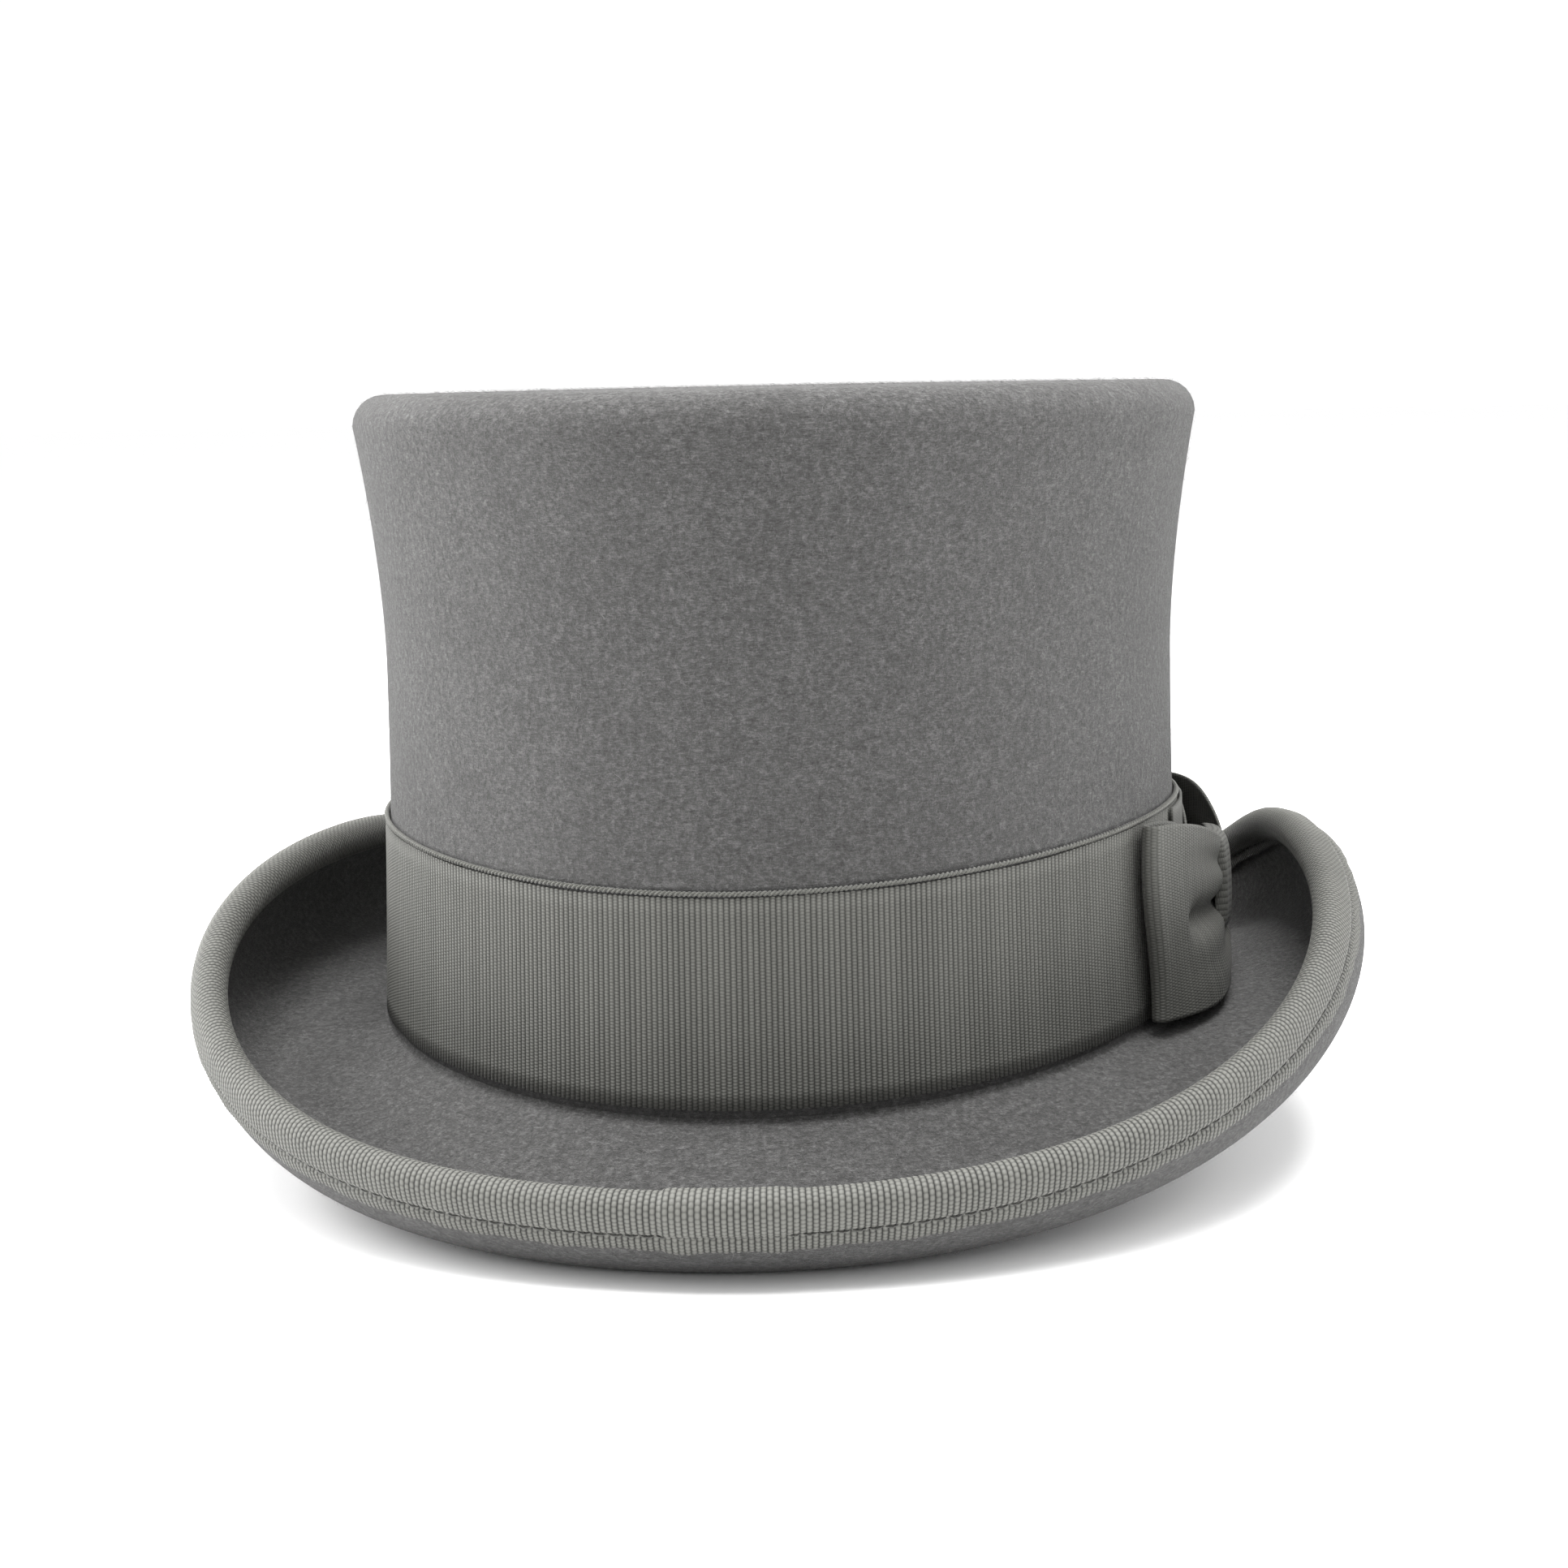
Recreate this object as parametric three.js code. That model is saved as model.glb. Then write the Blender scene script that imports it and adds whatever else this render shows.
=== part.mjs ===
// A curled-brim top hat in wool felt, with a grosgrain band, a tailored side bow, a bound brim,
// a sewn-in sweatband and a satin lining.
//
// Millimetres, +Z up. The hat stands on the flattened undersides of its brim, front and back, at
// z = 0, with the origin in the middle of its footprint. The front faces -Y. The bow is on the
// wearer's left, at +X.
//
// Every ring of the hat follows one family of ovals. A point of the oval with "reach" r lies r from
// the middle sideways and r + HEAD_LENGTH_EXTRA from it fore and aft. A sub-part is an outline in
// (reach, height), swept round the oval, that may change shape on the way.

import * as THREE from 'three';
import { ParametricGeometry } from 'three/addons/geometries/ParametricGeometry.js';

// ---------------------------------------------------------------------------------------------
// Driving dimensions
// ---------------------------------------------------------------------------------------------

const HEAD_LENGTH_EXTRA = 17.5; // how much longer the oval is fore and aft than sideways, each way
const CORE_REACH = 60; // inside this reach the ovals shrink evenly to the middle

const FELT = 2.8; // thickness of the felt
const GAP = 0.3; // clearance between neighbouring pieces
const RIBBON = 0.8; // thickness of the grosgrain ribbon

// Crown, with heights measured from the foot of the crown at the side of the head.
const CROWN_HEIGHT = 130.5;
const CROWN_FOOT_REACH = 85;
const CROWN_WAIST_REACH = 83.5;
const CROWN_WAIST_HEIGHT = 74;
const CROWN_TOP_REACH = 90.2;
const CROWN_FLARE_POWER = 1.7;
const TIP_CORNER_RADIUS = 6.5;

// Brim, measured along the middle of the felt. "Side" is beside the head, "end" is front and back.
const BRIM_DIP = 6.2; // how far the crown's foot drops at the ends
const BRIM_WIDTH_END = 59.3;
const BRIM_WIDTH_SIDE = 61.2;
const BRIM_WIDTH_LEAN = 1; // the bow's side is wider by this, the other side narrower
const BRIM_SLOPE_END = 40; // degrees down from level, before the curl
const BRIM_SLOPE_SIDE = -18.5;
const CURL_RADIUS_END = 18.5;
const CURL_RADIUS_SIDE = 12;
const CURL_TURN_END = 116; // degrees that the curl turns through
const CURL_TURN_SIDE = 159;
const CURL_TURN_LEAN = -7; // the bow's side curls less by this, the other side more
const CURL_SPREAD = 0.22; // how long the end shape holds before it turns into the side shape
const CURL_BACK_SHIFT = 11.7; // degrees by which the highest part of each side lies behind the middle
const BRIM_BREAK_RADIUS = 3; // where the crown turns out into the brim
const BRIM_START_INSET = 1; // the brim's middle line is measured from this far inside the foot
const BRIM_START_DROP = 1.5;
const REST_FLAT_DEPTH = 0.6; // how much the lowest felt is flattened where the hat stands
const REST_FLAT_HALF = 2.5; // half the flattened strip's width

// Brim binding and its stitching.
const BINDING_WIDTH = 7.8; // from the brim's edge to the ribbon's selvedge
const BINDING_THICKNESS = 0.9;
const BINDING_GAP = 0.7; // clearance between the binding and the felt it wraps
const BINDING_LAP_EXTRA = 0.5; // the lapped end stands proud by this
const BINDING_LAP_START = -91; // degrees round the oval, near the middle of the front
const BINDING_LAP_END = -82;
const BINDING_STITCH_INSET = 5.1; // from the brim's edge to the row of stitches
const THREAD = 0.5; // diameter of the sewing thread

// Hatband.
const BAND_WIDTH = 40;
const BAND_LIFT = 1.9; // from the crown's foot to the ribbon's lower edge
const BAND_SEAM = 0.6; // opening between the ribbon's two ends, under the bow
const EDGE_CORD = 1.1; // diameter of the twisted cord on the ribbon's top edge

// Bow.
const BOW_REACH = 45; // from the knot's middle to the end of each loop, round the crown
const BOW_THICKNESS_END = 2.4;
const BOW_THICKNESS_KNOT = 3.4;
const BOW_PUFF = 2.6; // how much fuller a loop is half way along
const BOW_PINCH_TOP = 8; // how far each loop's top edge drops at the knot
const BOW_PINCH_BOTTOM = 13; // how far its lower edge rises there
const BOW_LIFT = 0.6; // from the ribbon's lower edge to the loops' lower edge
const BOW_OVERHANG = 0.6; // from the ribbon's top edge up to the loops' top edge
const BOW_LOOP_START = 2.4; // from the knot's middle to the pinched end of each loop
const BOW_BACKING_REACH = 20;
const BOW_BACKING_DROP = 0.4; // from the ribbon's lower edge down to the backing's
const KNOT_HALF_WIDTH = 8;
const KNOT_LOW = 12;
const KNOT_HIGH = 34;
const KNOT_THICKNESS = 2.8;
const KNOT_EDGE = 0.6; // thickness of the wrap where it turns under
const KNOT_ROUND_ACROSS = 0.8; // how round the wrap is, from flat at 0 to a full arch at 1
const KNOT_ROUND_UP = 0.7;
const KNOT_NARROWING = 0.2; // share of its height lost towards its sides

// Sweatband, its reed and its tape.
const SWEATBAND_HEIGHT = 42;
const SWEATBAND_THICKNESS = 1;
const SWEATBAND_FOOT = 3.2; // height of the leather's lower edge over the brim's underside line
const REED = 1.8; // diameter of the reed
const REED_TAPE = 0.5;
const BACK_TAB_WIDTH = 14;

// Lining.
const LINING = 0.5;
const LINING_FOOT = 10; // height of the lining's lower edge, behind the sweatband
const LINING_CORNER = 5;

// How finely the ovals and outlines are divided.
const ROUND = 56;
const DEGREE = Math.PI / 180;

const COLOURS = {
  felt: 0x7b7a78,
  ribbon: 0x7a7b71,
  cord: 0xa5a59b,
  thread: 0x6c6d63,
  leather: 0x4c3a2c,
  reed: 0xcfc8b8,
  tape: 0x8a8a80,
  satin: 0x6f6f72,
};

// ---------------------------------------------------------------------------------------------
// The oval, the crown's side and the brim's middle line
// ---------------------------------------------------------------------------------------------

// A point on the oval of the given reach, at an angle measured from +X.
function onOval(angle, reach, height) {
  const extra = HEAD_LENGTH_EXTRA * Math.min(1, reach / CORE_REACH);
  return new THREE.Vector3(reach * Math.cos(angle), (reach + extra) * Math.sin(angle), height);
}

// 0 beside the head and 1 at the front and back, with no kink between them.
function endShare(angle) {
  const turned = angle - CURL_BACK_SHIFT * DEGREE * Math.cos(angle);
  return Math.sin(turned) ** 2 + CURL_SPREAD * Math.sin(2 * turned) ** 2;
}

const mix = (side, end, share) => side + (end - side) * share;

// Evenly spaced numbers from one value to another, both included.
const steps = (from, to, count) => Array.from({ length: count + 1 }, (_, i) => from + (to - from) * i / count);

// Outside reach of the crown at a height over its foot.
function crownReach(height) {
  const above = height - CROWN_WAIST_HEIGHT;
  if (above < 0) {
    return CROWN_WAIST_REACH + (CROWN_FOOT_REACH - CROWN_WAIST_REACH) * (above / CROWN_WAIST_HEIGHT) ** 2;
  }
  const flare = (above / (CROWN_HEIGHT - CROWN_WAIST_HEIGHT)) ** CROWN_FLARE_POWER;
  return CROWN_WAIST_REACH + (CROWN_TOP_REACH - CROWN_WAIST_REACH) * flare;
}

// Height of the crown's foot, which dips at the front and back.
const footHeight = (angle) => -BRIM_DIP * Math.sin(angle) ** 2;

// The brim's shape at an angle round the oval.
function brimShape(angle) {
  const share = endShare(angle);
  const lean = Math.cos(angle);
  const width = mix(BRIM_WIDTH_SIDE + BRIM_WIDTH_LEAN * lean, BRIM_WIDTH_END, share);
  const slope = mix(BRIM_SLOPE_SIDE, BRIM_SLOPE_END, share) * DEGREE;
  const radius = mix(CURL_RADIUS_SIDE, CURL_RADIUS_END, share);
  const turn = mix(CURL_TURN_SIDE + CURL_TURN_LEAN * lean, CURL_TURN_END, share) * DEGREE;
  const flat = Math.max(width - radius * turn, 0);
  return { width, slope, radius, flat, lowest: flat + radius * slope };
}

// A point of the brim's middle line, the given distance along it, and its heading in radians.
function brimPoint(angle, along) {
  const { slope, radius, flat } = brimShape(angle);
  const straight = Math.min(along, flat);
  const heading = -slope + Math.max(along - flat, 0) / radius;
  const reach = CROWN_FOOT_REACH - BRIM_START_INSET + straight * Math.cos(slope)
    + radius * (Math.sin(heading) + Math.sin(slope));
  const height = footHeight(angle) - BRIM_START_DROP - straight * Math.sin(slope)
    + radius * (Math.cos(slope) - Math.cos(heading));
  return { reach, height, heading };
}

// The distances along the brim's middle line at which the bound strip is divided.
const boundStops = (width) => steps(width - BINDING_WIDTH + FELT / 2, width, 2);

// Step off a middle-line point to its upper side (positive) or its underside (negative).
function offset({ reach, height, heading }, distance) {
  return { reach: reach - distance * Math.sin(heading), height: height + distance * Math.cos(heading) };
}

// The lowest level of the felt, which is lifted to z = 0 once the whole hat is built.
function lowestFelt() {
  const underside = steps(0, BRIM_WIDTH_END, 200).map((along) => offset(brimPoint(-90 * DEGREE, along), -FELT / 2));
  return Math.min(...underside.map((point) => point.height));
}
const REST_LEVEL = lowestFelt() + REST_FLAT_DEPTH;

// ---------------------------------------------------------------------------------------------
// Skins: closed surfaces swept from outlines
// ---------------------------------------------------------------------------------------------

// A ring swept right round the oval. outline(angle) gives the corners of a closed outline in
// (reach, height), in the order that runs outwards over the top, or one that starts and ends on the
// axis when onAxis is set.
function ovalRing(outline, onAxis = false) {
  const count = outline(0).length;
  const outlines = steps(0, 2 * Math.PI, ROUND).map((angle) => ({ angle, points: outline(angle) }));
  outlines[ROUND] = outlines[0];
  const rows = onAxis ? count - 1 : count;
  const place = (u, v, target) => {
    const { angle, points } = outlines[Math.round(u * ROUND)];
    const { reach, height } = points[(rows - Math.round(v * rows)) % count];
    target.copy(onOval(angle, reach, height));
  };
  return new ParametricGeometry(place, ROUND, rows);
}

// A strip that runs part of the way round the oval, closed at both ends. sections is a list of
// { angle, points }, each with the same number of corners.
function ovalStrip(sections) {
  const count = sections[0].points.length;
  const closed = sections.map(({ angle, points }) => points.map((p) => onOval(angle, p.reach, p.height)));
  const middle = (points) => points.reduce((sum, p) => sum.add(p), new THREE.Vector3()).divideScalar(count);
  const first = middle(closed[0]);
  const last = middle(closed[closed.length - 1]);
  const rings = [closed[0].map(() => first), ...closed, closed[0].map(() => last)];
  const stops = rings.length - 1;
  const place = (u, v, target) => {
    target.copy(rings[Math.round(u * stops)][(count - Math.round(v * count)) % count]);
  };
  return new ParametricGeometry(place, stops, count);
}

// The corners of a round outline, for threads, cords and reeds.
function roundOutline(reach, height, diameter, sides) {
  return Array.from({ length: sides }, (_, i) => {
    const turn = -i / sides * 2 * Math.PI;
    return { reach: reach + diameter / 2 * Math.cos(turn), height: height + diameter / 2 * Math.sin(turn) };
  });
}

// An upright wall that follows the crown: outer and inner distances in from the crown's outside.
function wallOutline(low, high, outer, inner, rows) {
  const heights = steps(low, high, rows);
  const side = (distance) => (height) => ({ reach: crownReach(height) - distance, height });
  return [...heights.map(side(inner)), ...heights.reverse().map(side(outer))];
}

// ---------------------------------------------------------------------------------------------
// Felt body
// ---------------------------------------------------------------------------------------------

// The middle line of the felt from the centre of the tip to the edge of the brim.
function feltLine(angle) {
  const half = FELT / 2;
  const cornerRadius = TIP_CORNER_RADIUS - half;
  const cornerHeight = CROWN_HEIGHT - TIP_CORNER_RADIUS;
  const cornerReach = crownReach(cornerHeight) - TIP_CORNER_RADIUS;
  const down = -90 * DEGREE;

  const tip = [0, 0.55].map((part) => ({ reach: cornerReach * part, height: CROWN_HEIGHT - half, heading: 0 }));
  const corner = steps(0, down, 3).map((heading) => ({
    reach: cornerReach - cornerRadius * Math.sin(heading),
    height: cornerHeight + cornerRadius * Math.cos(heading),
    heading,
  }));

  const { slope, width, lowest } = brimShape(angle);
  const reach = CROWN_FOOT_REACH - half;
  const bendReach = reach + BRIM_BREAK_RADIUS * (1 - Math.sin(slope));
  const skipped = (bendReach - (CROWN_FOOT_REACH - BRIM_START_INSET)) / Math.cos(slope);
  const bendEnd = brimPoint(angle, skipped);
  const bendTop = bendEnd.height + BRIM_BREAK_RADIUS * Math.cos(slope);
  const side = steps(cornerHeight, bendTop, 7).slice(1, -1).map((height) => ({
    reach: crownReach(height) - half,
    height,
    heading: down,
  }));
  const bend = steps(down, -slope, 3).map((heading) => ({
    reach: reach + BRIM_BREAK_RADIUS * (1 + Math.sin(heading)),
    height: bendTop - BRIM_BREAK_RADIUS * Math.cos(heading),
    heading,
  }));
  const bound = boundStops(width);
  const brim = [
    ...steps(skipped, lowest - REST_FLAT_HALF, 2).slice(1),
    ...steps(lowest + REST_FLAT_HALF, bound[0], 4),
    ...bound.slice(1),
  ];
  return [...tip, ...corner, ...side, ...bend, ...brim.map((along) => brimPoint(angle, along))];
}

// Crown, tip and brim are one piece of felt, blocked to shape.
function feltBody() {
  return ovalRing((angle) => {
    const line = feltLine(angle);
    const half = FELT / 2;
    const edge = line[line.length - 1];
    const outside = line.map((point) => offset(point, half));
    const inside = line.map((point) => offset(point, -half)).reverse();
    const lip = { reach: edge.reach + half * Math.cos(edge.heading), height: edge.height + half * Math.sin(edge.heading) };
    return [...outside, lip, ...inside].map(({ reach, height }) => ({
      reach,
      height: Math.max(height, REST_LEVEL),
    }));
  }, true);
}

// ---------------------------------------------------------------------------------------------
// Brim binding and its two threads
// ---------------------------------------------------------------------------------------------

// A ribbon folded over the brim's edge, with one end lapped over the other at the front.
function brimBinding() {
  return ovalRing((angle) => {
    const { width } = brimShape(angle);
    const turned = (angle / DEGREE + 180) % 360 - 180;
    const lapped = turned >= BINDING_LAP_START && turned <= BINDING_LAP_END;
    const inner = FELT / 2 + BINDING_GAP;
    const outer = inner + BINDING_THICKNESS + (lapped ? BINDING_LAP_EXTRA : 0);
    const stops = boundStops(width).map((along) => brimPoint(angle, along));
    const edge = stops[stops.length - 1];
    const cap = (distance) => [45, 0, -45].map((tilt) => {
      const heading = edge.heading + tilt * DEGREE;
      return { reach: edge.reach + distance * Math.cos(heading), height: edge.height + distance * Math.sin(heading) };
    });
    const face = (distance) => stops.map((point) => offset(point, distance));
    return [
      ...face(outer), ...cap(outer), ...face(-outer).reverse(),
      ...face(-inner), ...cap(inner).reverse(), ...face(inner).reverse(),
    ];
  });
}

// The lockstitch has one thread on the binding's outside face and one on its inside face.
function bindingThread(sign) {
  return ovalRing((angle) => {
    const { width } = brimShape(angle);
    const line = brimPoint(angle, width + FELT / 2 - BINDING_STITCH_INSET);
    const clear = FELT / 2 + BINDING_GAP + BINDING_THICKNESS + BINDING_LAP_EXTRA + GAP + THREAD / 2;
    const { reach, height } = offset(line, sign * clear);
    return roundOutline(reach, height, THREAD, 4);
  });
}

// ---------------------------------------------------------------------------------------------
// Hatband and the cord on its top edge
// ---------------------------------------------------------------------------------------------

// The ribbon's ends meet under the bow, where a narrow opening parts them.
function hatband() {
  const half = arc(BAND_SEAM / 2);
  return ovalStrip(steps(half, 2 * Math.PI - half, ROUND).map((angle) => {
    const low = footHeight(angle) + BAND_LIFT;
    return { angle, points: wallOutline(low, low + BAND_WIDTH, -GAP - RIBBON, -GAP, 4) };
  }));
}

function bandEdgeCord() {
  return ovalRing((angle) => {
    const height = footHeight(angle) + BAND_LIFT + BAND_WIDTH + GAP + EDGE_CORD / 2;
    return roundOutline(crownReach(height) + GAP + EDGE_CORD / 2, height, EDGE_CORD, 6);
  });
}

// ---------------------------------------------------------------------------------------------
// Bow
// ---------------------------------------------------------------------------------------------

const BAND_OUT = GAP + RIBBON + GAP; // from the crown's outside to the back of the bow
const BOW_BACK = BAND_OUT + RIBBON + GAP; // from the crown's outside to the back of the loops

// Turns a distance round the side of the crown, beside the head, into an angle.
function arc(distance) {
  return distance / (CROWN_FOOT_REACH + HEAD_LENGTH_EXTRA);
}

// The flat length of ribbon that covers the hatband's ends and carries the bow.
function bowBacking() {
  return ovalStrip(steps(-arc(BOW_BACKING_REACH), arc(BOW_BACKING_REACH), 6).map((angle) => {
    const low = footHeight(angle) + BAND_LIFT - BOW_BACKING_DROP;
    return { angle, points: wallOutline(low, low + BAND_WIDTH, -BAND_OUT - RIBBON, -BAND_OUT, 4) };
  }));
}

// One loop of the bow: a flattened fold of ribbon, full width at its end and pinched at the knot.
function bowLoop(sign) {
  return ovalStrip(steps(0, 1, 8).map((part) => {
    const along = mix(BOW_LOOP_START, BOW_REACH, part);
    const pinch = (1 - part) ** 3;
    const angle = sign * arc(along);
    const low = footHeight(angle) + BAND_LIFT + BOW_LIFT + BOW_PINCH_BOTTOM * pinch;
    const high = footHeight(angle) + BAND_LIFT + BAND_WIDTH + BOW_OVERHANG - BOW_PINCH_TOP * pinch;
    const thickness = mix(BOW_THICKNESS_KNOT, BOW_THICKNESS_END, part) + BOW_PUFF * Math.sin(Math.PI * part);
    return { angle, points: wallOutline(low, high, -BOW_BACK - thickness, -BOW_BACK, 4) };
  }).sort((a, b) => a.angle - b.angle));
}

// The centre wrap: a short ribbon folded over the middle of the bow.
function bowKnot() {
  const back = BOW_BACK + BOW_THICKNESS_KNOT + BOW_PUFF / 2 + GAP;
  const turns = steps(-1, 1, 8);
  return ovalStrip(turns.map((part) => {
    const angle = arc(KNOT_HALF_WIDTH * part);
    const round = Math.sqrt(1 - KNOT_ROUND_ACROSS * part ** 2);
    const middle = (KNOT_LOW + KNOT_HIGH) / 2;
    const halfHeight = (KNOT_HIGH - KNOT_LOW) / 2 * (1 - KNOT_NARROWING * (1 - round));
    const bulge = KNOT_THICKNESS * round;
    const reach = CROWN_FOOT_REACH + back;
    const points = steps(-1, 1, 4).map((t) => ({ reach, height: middle + halfHeight * t }));
    const front = steps(1, -1, 4).map((t) => ({
      reach: reach + KNOT_EDGE + bulge * Math.sqrt(1 - KNOT_ROUND_UP * t * t),
      height: middle + halfHeight * t,
    }));
    return { angle, points: [...points, ...front] };
  }));
}

// ---------------------------------------------------------------------------------------------
// Sweatband
// ---------------------------------------------------------------------------------------------

const INNER_WALL = FELT + GAP; // from the crown's outside to the back of the inner pieces
const TAPE_OUT = REED_TAPE + GAP;

// The leather band that meets the head. Its ends meet at the back, where a narrow opening parts them.
function sweatband() {
  const half = BAND_SEAM / 2 / CROWN_FOOT_REACH;
  const start = Math.PI / 2; // the back of the head
  return ovalStrip(steps(start + half, start + 2 * Math.PI - half, ROUND).map((angle) => {
    const low = footHeight(angle) + SWEATBAND_FOOT;
    const outer = INNER_WALL + LINING + GAP;
    const points = wallOutline(low, low + SWEATBAND_HEIGHT, outer, outer + SWEATBAND_THICKNESS, 4);
    return { angle, points };
  }));
}

// The reed keeps the sweatband's lower edge round.
function sweatbandReed() {
  return ovalRing((angle) => {
    const height = footHeight(angle) + SWEATBAND_FOOT - GAP - REED_TAPE - GAP - REED / 2;
    return roundOutline(CROWN_FOOT_REACH - INNER_WALL - TAPE_OUT - REED / 2, height, REED, 6);
  });
}

// The cloth tape folded round the reed, sewn to the felt outside it.
function reedTape() {
  return ovalRing((angle) => {
    const middle = footHeight(angle) + SWEATBAND_FOOT - GAP - REED_TAPE - GAP - REED / 2;
    const centre = CROWN_FOOT_REACH - INNER_WALL - TAPE_OUT - REED / 2;
    const inner = REED / 2 + GAP;
    const outer = inner + REED_TAPE;
    const hook = (distance, turns) => turns.map((turn) => ({
      reach: centre + distance * Math.cos(turn * DEGREE),
      height: middle + distance * Math.sin(turn * DEGREE),
    }));
    return [...hook(outer, [200, 140, 80, 20, -40, -100]), ...hook(inner, [-100, -40, 20, 80, 140, 200])];
  });
}

// The row of stitches that holds the tape to the hat, along the inside of the reed.
function sweatbandThread() {
  return ovalRing((angle) => {
    const middle = footHeight(angle) + SWEATBAND_FOOT - GAP - REED_TAPE - GAP - REED / 2;
    const centre = CROWN_FOOT_REACH - INNER_WALL - TAPE_OUT - REED / 2;
    const out = REED / 2 + GAP + REED_TAPE + GAP + THREAD / 2;
    return roundOutline(centre - out, middle, THREAD, 4);
  });
}

// The leather tab sewn behind the joint in the sweatband, at the back of the head.
function sweatbandTab() {
  const half = BACK_TAB_WIDTH / 2 / CROWN_FOOT_REACH;
  const back = Math.PI / 2;
  return ovalStrip(steps(back - half, back + half, 4).map((angle) => {
    const low = footHeight(angle) + SWEATBAND_FOOT + 1;
    const outer = INNER_WALL + LINING + GAP + SWEATBAND_THICKNESS + GAP;
    const points = wallOutline(low, low + SWEATBAND_HEIGHT - 4, outer, outer + SWEATBAND_THICKNESS, 4);
    return { angle, points };
  }));
}

// ---------------------------------------------------------------------------------------------
// Lining
// ---------------------------------------------------------------------------------------------

// The satin side, from behind the sweatband up to the tip.
function liningSide() {
  return ovalRing((angle) => {
    const low = footHeight(angle) + LINING_FOOT;
    const high = CROWN_HEIGHT - FELT - GAP - LINING_CORNER;
    return wallOutline(low, high, INNER_WALL, INNER_WALL + LINING, 6);
  });
}

// The satin oval inside the tip, turned down a little at its rim to meet the side.
function liningTip() {
  const top = CROWN_HEIGHT - FELT - GAP;
  const rim = crownReach(top) - INNER_WALL - TIP_CORNER_RADIUS * 0.6;
  return ovalRing(() => [
    { reach: 0, height: top },
    { reach: rim * 0.55, height: top },
    { reach: rim, height: top },
    { reach: rim, height: top - LINING },
    { reach: rim * 0.55, height: top - LINING },
    { reach: 0, height: top - LINING },
  ], true);
}

// ---------------------------------------------------------------------------------------------
// Assembly
// ---------------------------------------------------------------------------------------------

const hat = new THREE.Group();
hat.position.z = -REST_LEVEL;

function addPiece(name, geometry, colour, roughness) {
  const material = new THREE.MeshStandardMaterial({ color: COLOURS[colour], roughness, metalness: 0 });
  const mesh = new THREE.Mesh(geometry, material);
  mesh.name = name;
  hat.add(mesh);
}

addPiece('felt_body', feltBody(), 'felt', 0.95);
addPiece('brim_binding', brimBinding(), 'ribbon', 0.8);
addPiece('binding_thread_outer', bindingThread(-1), 'thread', 0.7);
addPiece('binding_thread_inner', bindingThread(1), 'thread', 0.7);
addPiece('hatband', hatband(), 'ribbon', 0.8);
addPiece('hatband_edge_cord', bandEdgeCord(), 'cord', 0.7);
addPiece('bow_backing', bowBacking(), 'ribbon', 0.8);
addPiece('bow_front_loop', bowLoop(-1), 'ribbon', 0.8);
addPiece('bow_rear_loop', bowLoop(1), 'ribbon', 0.8);
addPiece('bow_knot', bowKnot(), 'ribbon', 0.8);
addPiece('sweatband', sweatband(), 'leather', 0.6);
addPiece('sweatband_reed', sweatbandReed(), 'reed', 0.5);
addPiece('sweatband_reed_tape', reedTape(), 'tape', 0.85);
addPiece('sweatband_thread', sweatbandThread(), 'thread', 0.7);
addPiece('sweatband_back_tab', sweatbandTab(), 'leather', 0.6);
addPiece('lining_side', liningSide(), 'satin', 0.35);
addPiece('lining_tip', liningTip(), 'satin', 0.35);

// The bow's side of the brim is the wider one, so the crown stands a little off the middle.
const footprint = new THREE.Box3().setFromObject(hat);
hat.position.x = -(footprint.min.x + footprint.max.x) / 2;

export default hat;
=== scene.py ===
# %% [markdown]
# # A felt top hat, built in cells
# This lesson finishes a grey top hat: blocked wool felt with a curled, bound brim, a ribbed hatband
# with a twisted cord on its top edge, a tailored bow, a leather sweatband and a satin lining.
# The engineering model gives the size and the place of every piece. We load it first, and every
# fine piece that we make afterwards lies where the plain piece lay.

# %% Load the plain hat
import math

import bmesh
import bpy
import numpy as np
from mathutils import Matrix, Vector


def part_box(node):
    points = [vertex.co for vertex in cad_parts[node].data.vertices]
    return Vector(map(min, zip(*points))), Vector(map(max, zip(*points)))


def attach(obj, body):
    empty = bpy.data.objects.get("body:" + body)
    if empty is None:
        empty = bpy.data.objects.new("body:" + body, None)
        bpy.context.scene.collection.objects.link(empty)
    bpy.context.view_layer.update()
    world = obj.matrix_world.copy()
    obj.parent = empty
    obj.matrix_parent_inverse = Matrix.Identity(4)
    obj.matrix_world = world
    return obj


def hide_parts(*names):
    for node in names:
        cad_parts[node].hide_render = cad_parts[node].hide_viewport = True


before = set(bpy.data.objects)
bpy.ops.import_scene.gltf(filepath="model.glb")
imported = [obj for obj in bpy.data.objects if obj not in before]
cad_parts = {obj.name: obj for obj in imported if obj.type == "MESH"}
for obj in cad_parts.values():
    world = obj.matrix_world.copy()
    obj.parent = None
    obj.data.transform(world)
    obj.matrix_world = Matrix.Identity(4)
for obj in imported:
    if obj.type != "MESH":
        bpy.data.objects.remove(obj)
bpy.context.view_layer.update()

# %% [markdown]
# ## Python arithmetic that builds nodes
# Blender's materials and Geometry Nodes both do their sums with Math nodes. Placing those by hand
# is slow to write and slow to read. `Flow` wraps one socket, so that `a * 2 + b` adds the nodes for
# us. `Tree` wraps a whole node tree, and its one method `node` adds any other node. The helpers
# below it take numbers, arrays or flows alike, so one formula serves Python and the nodes.

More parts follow.
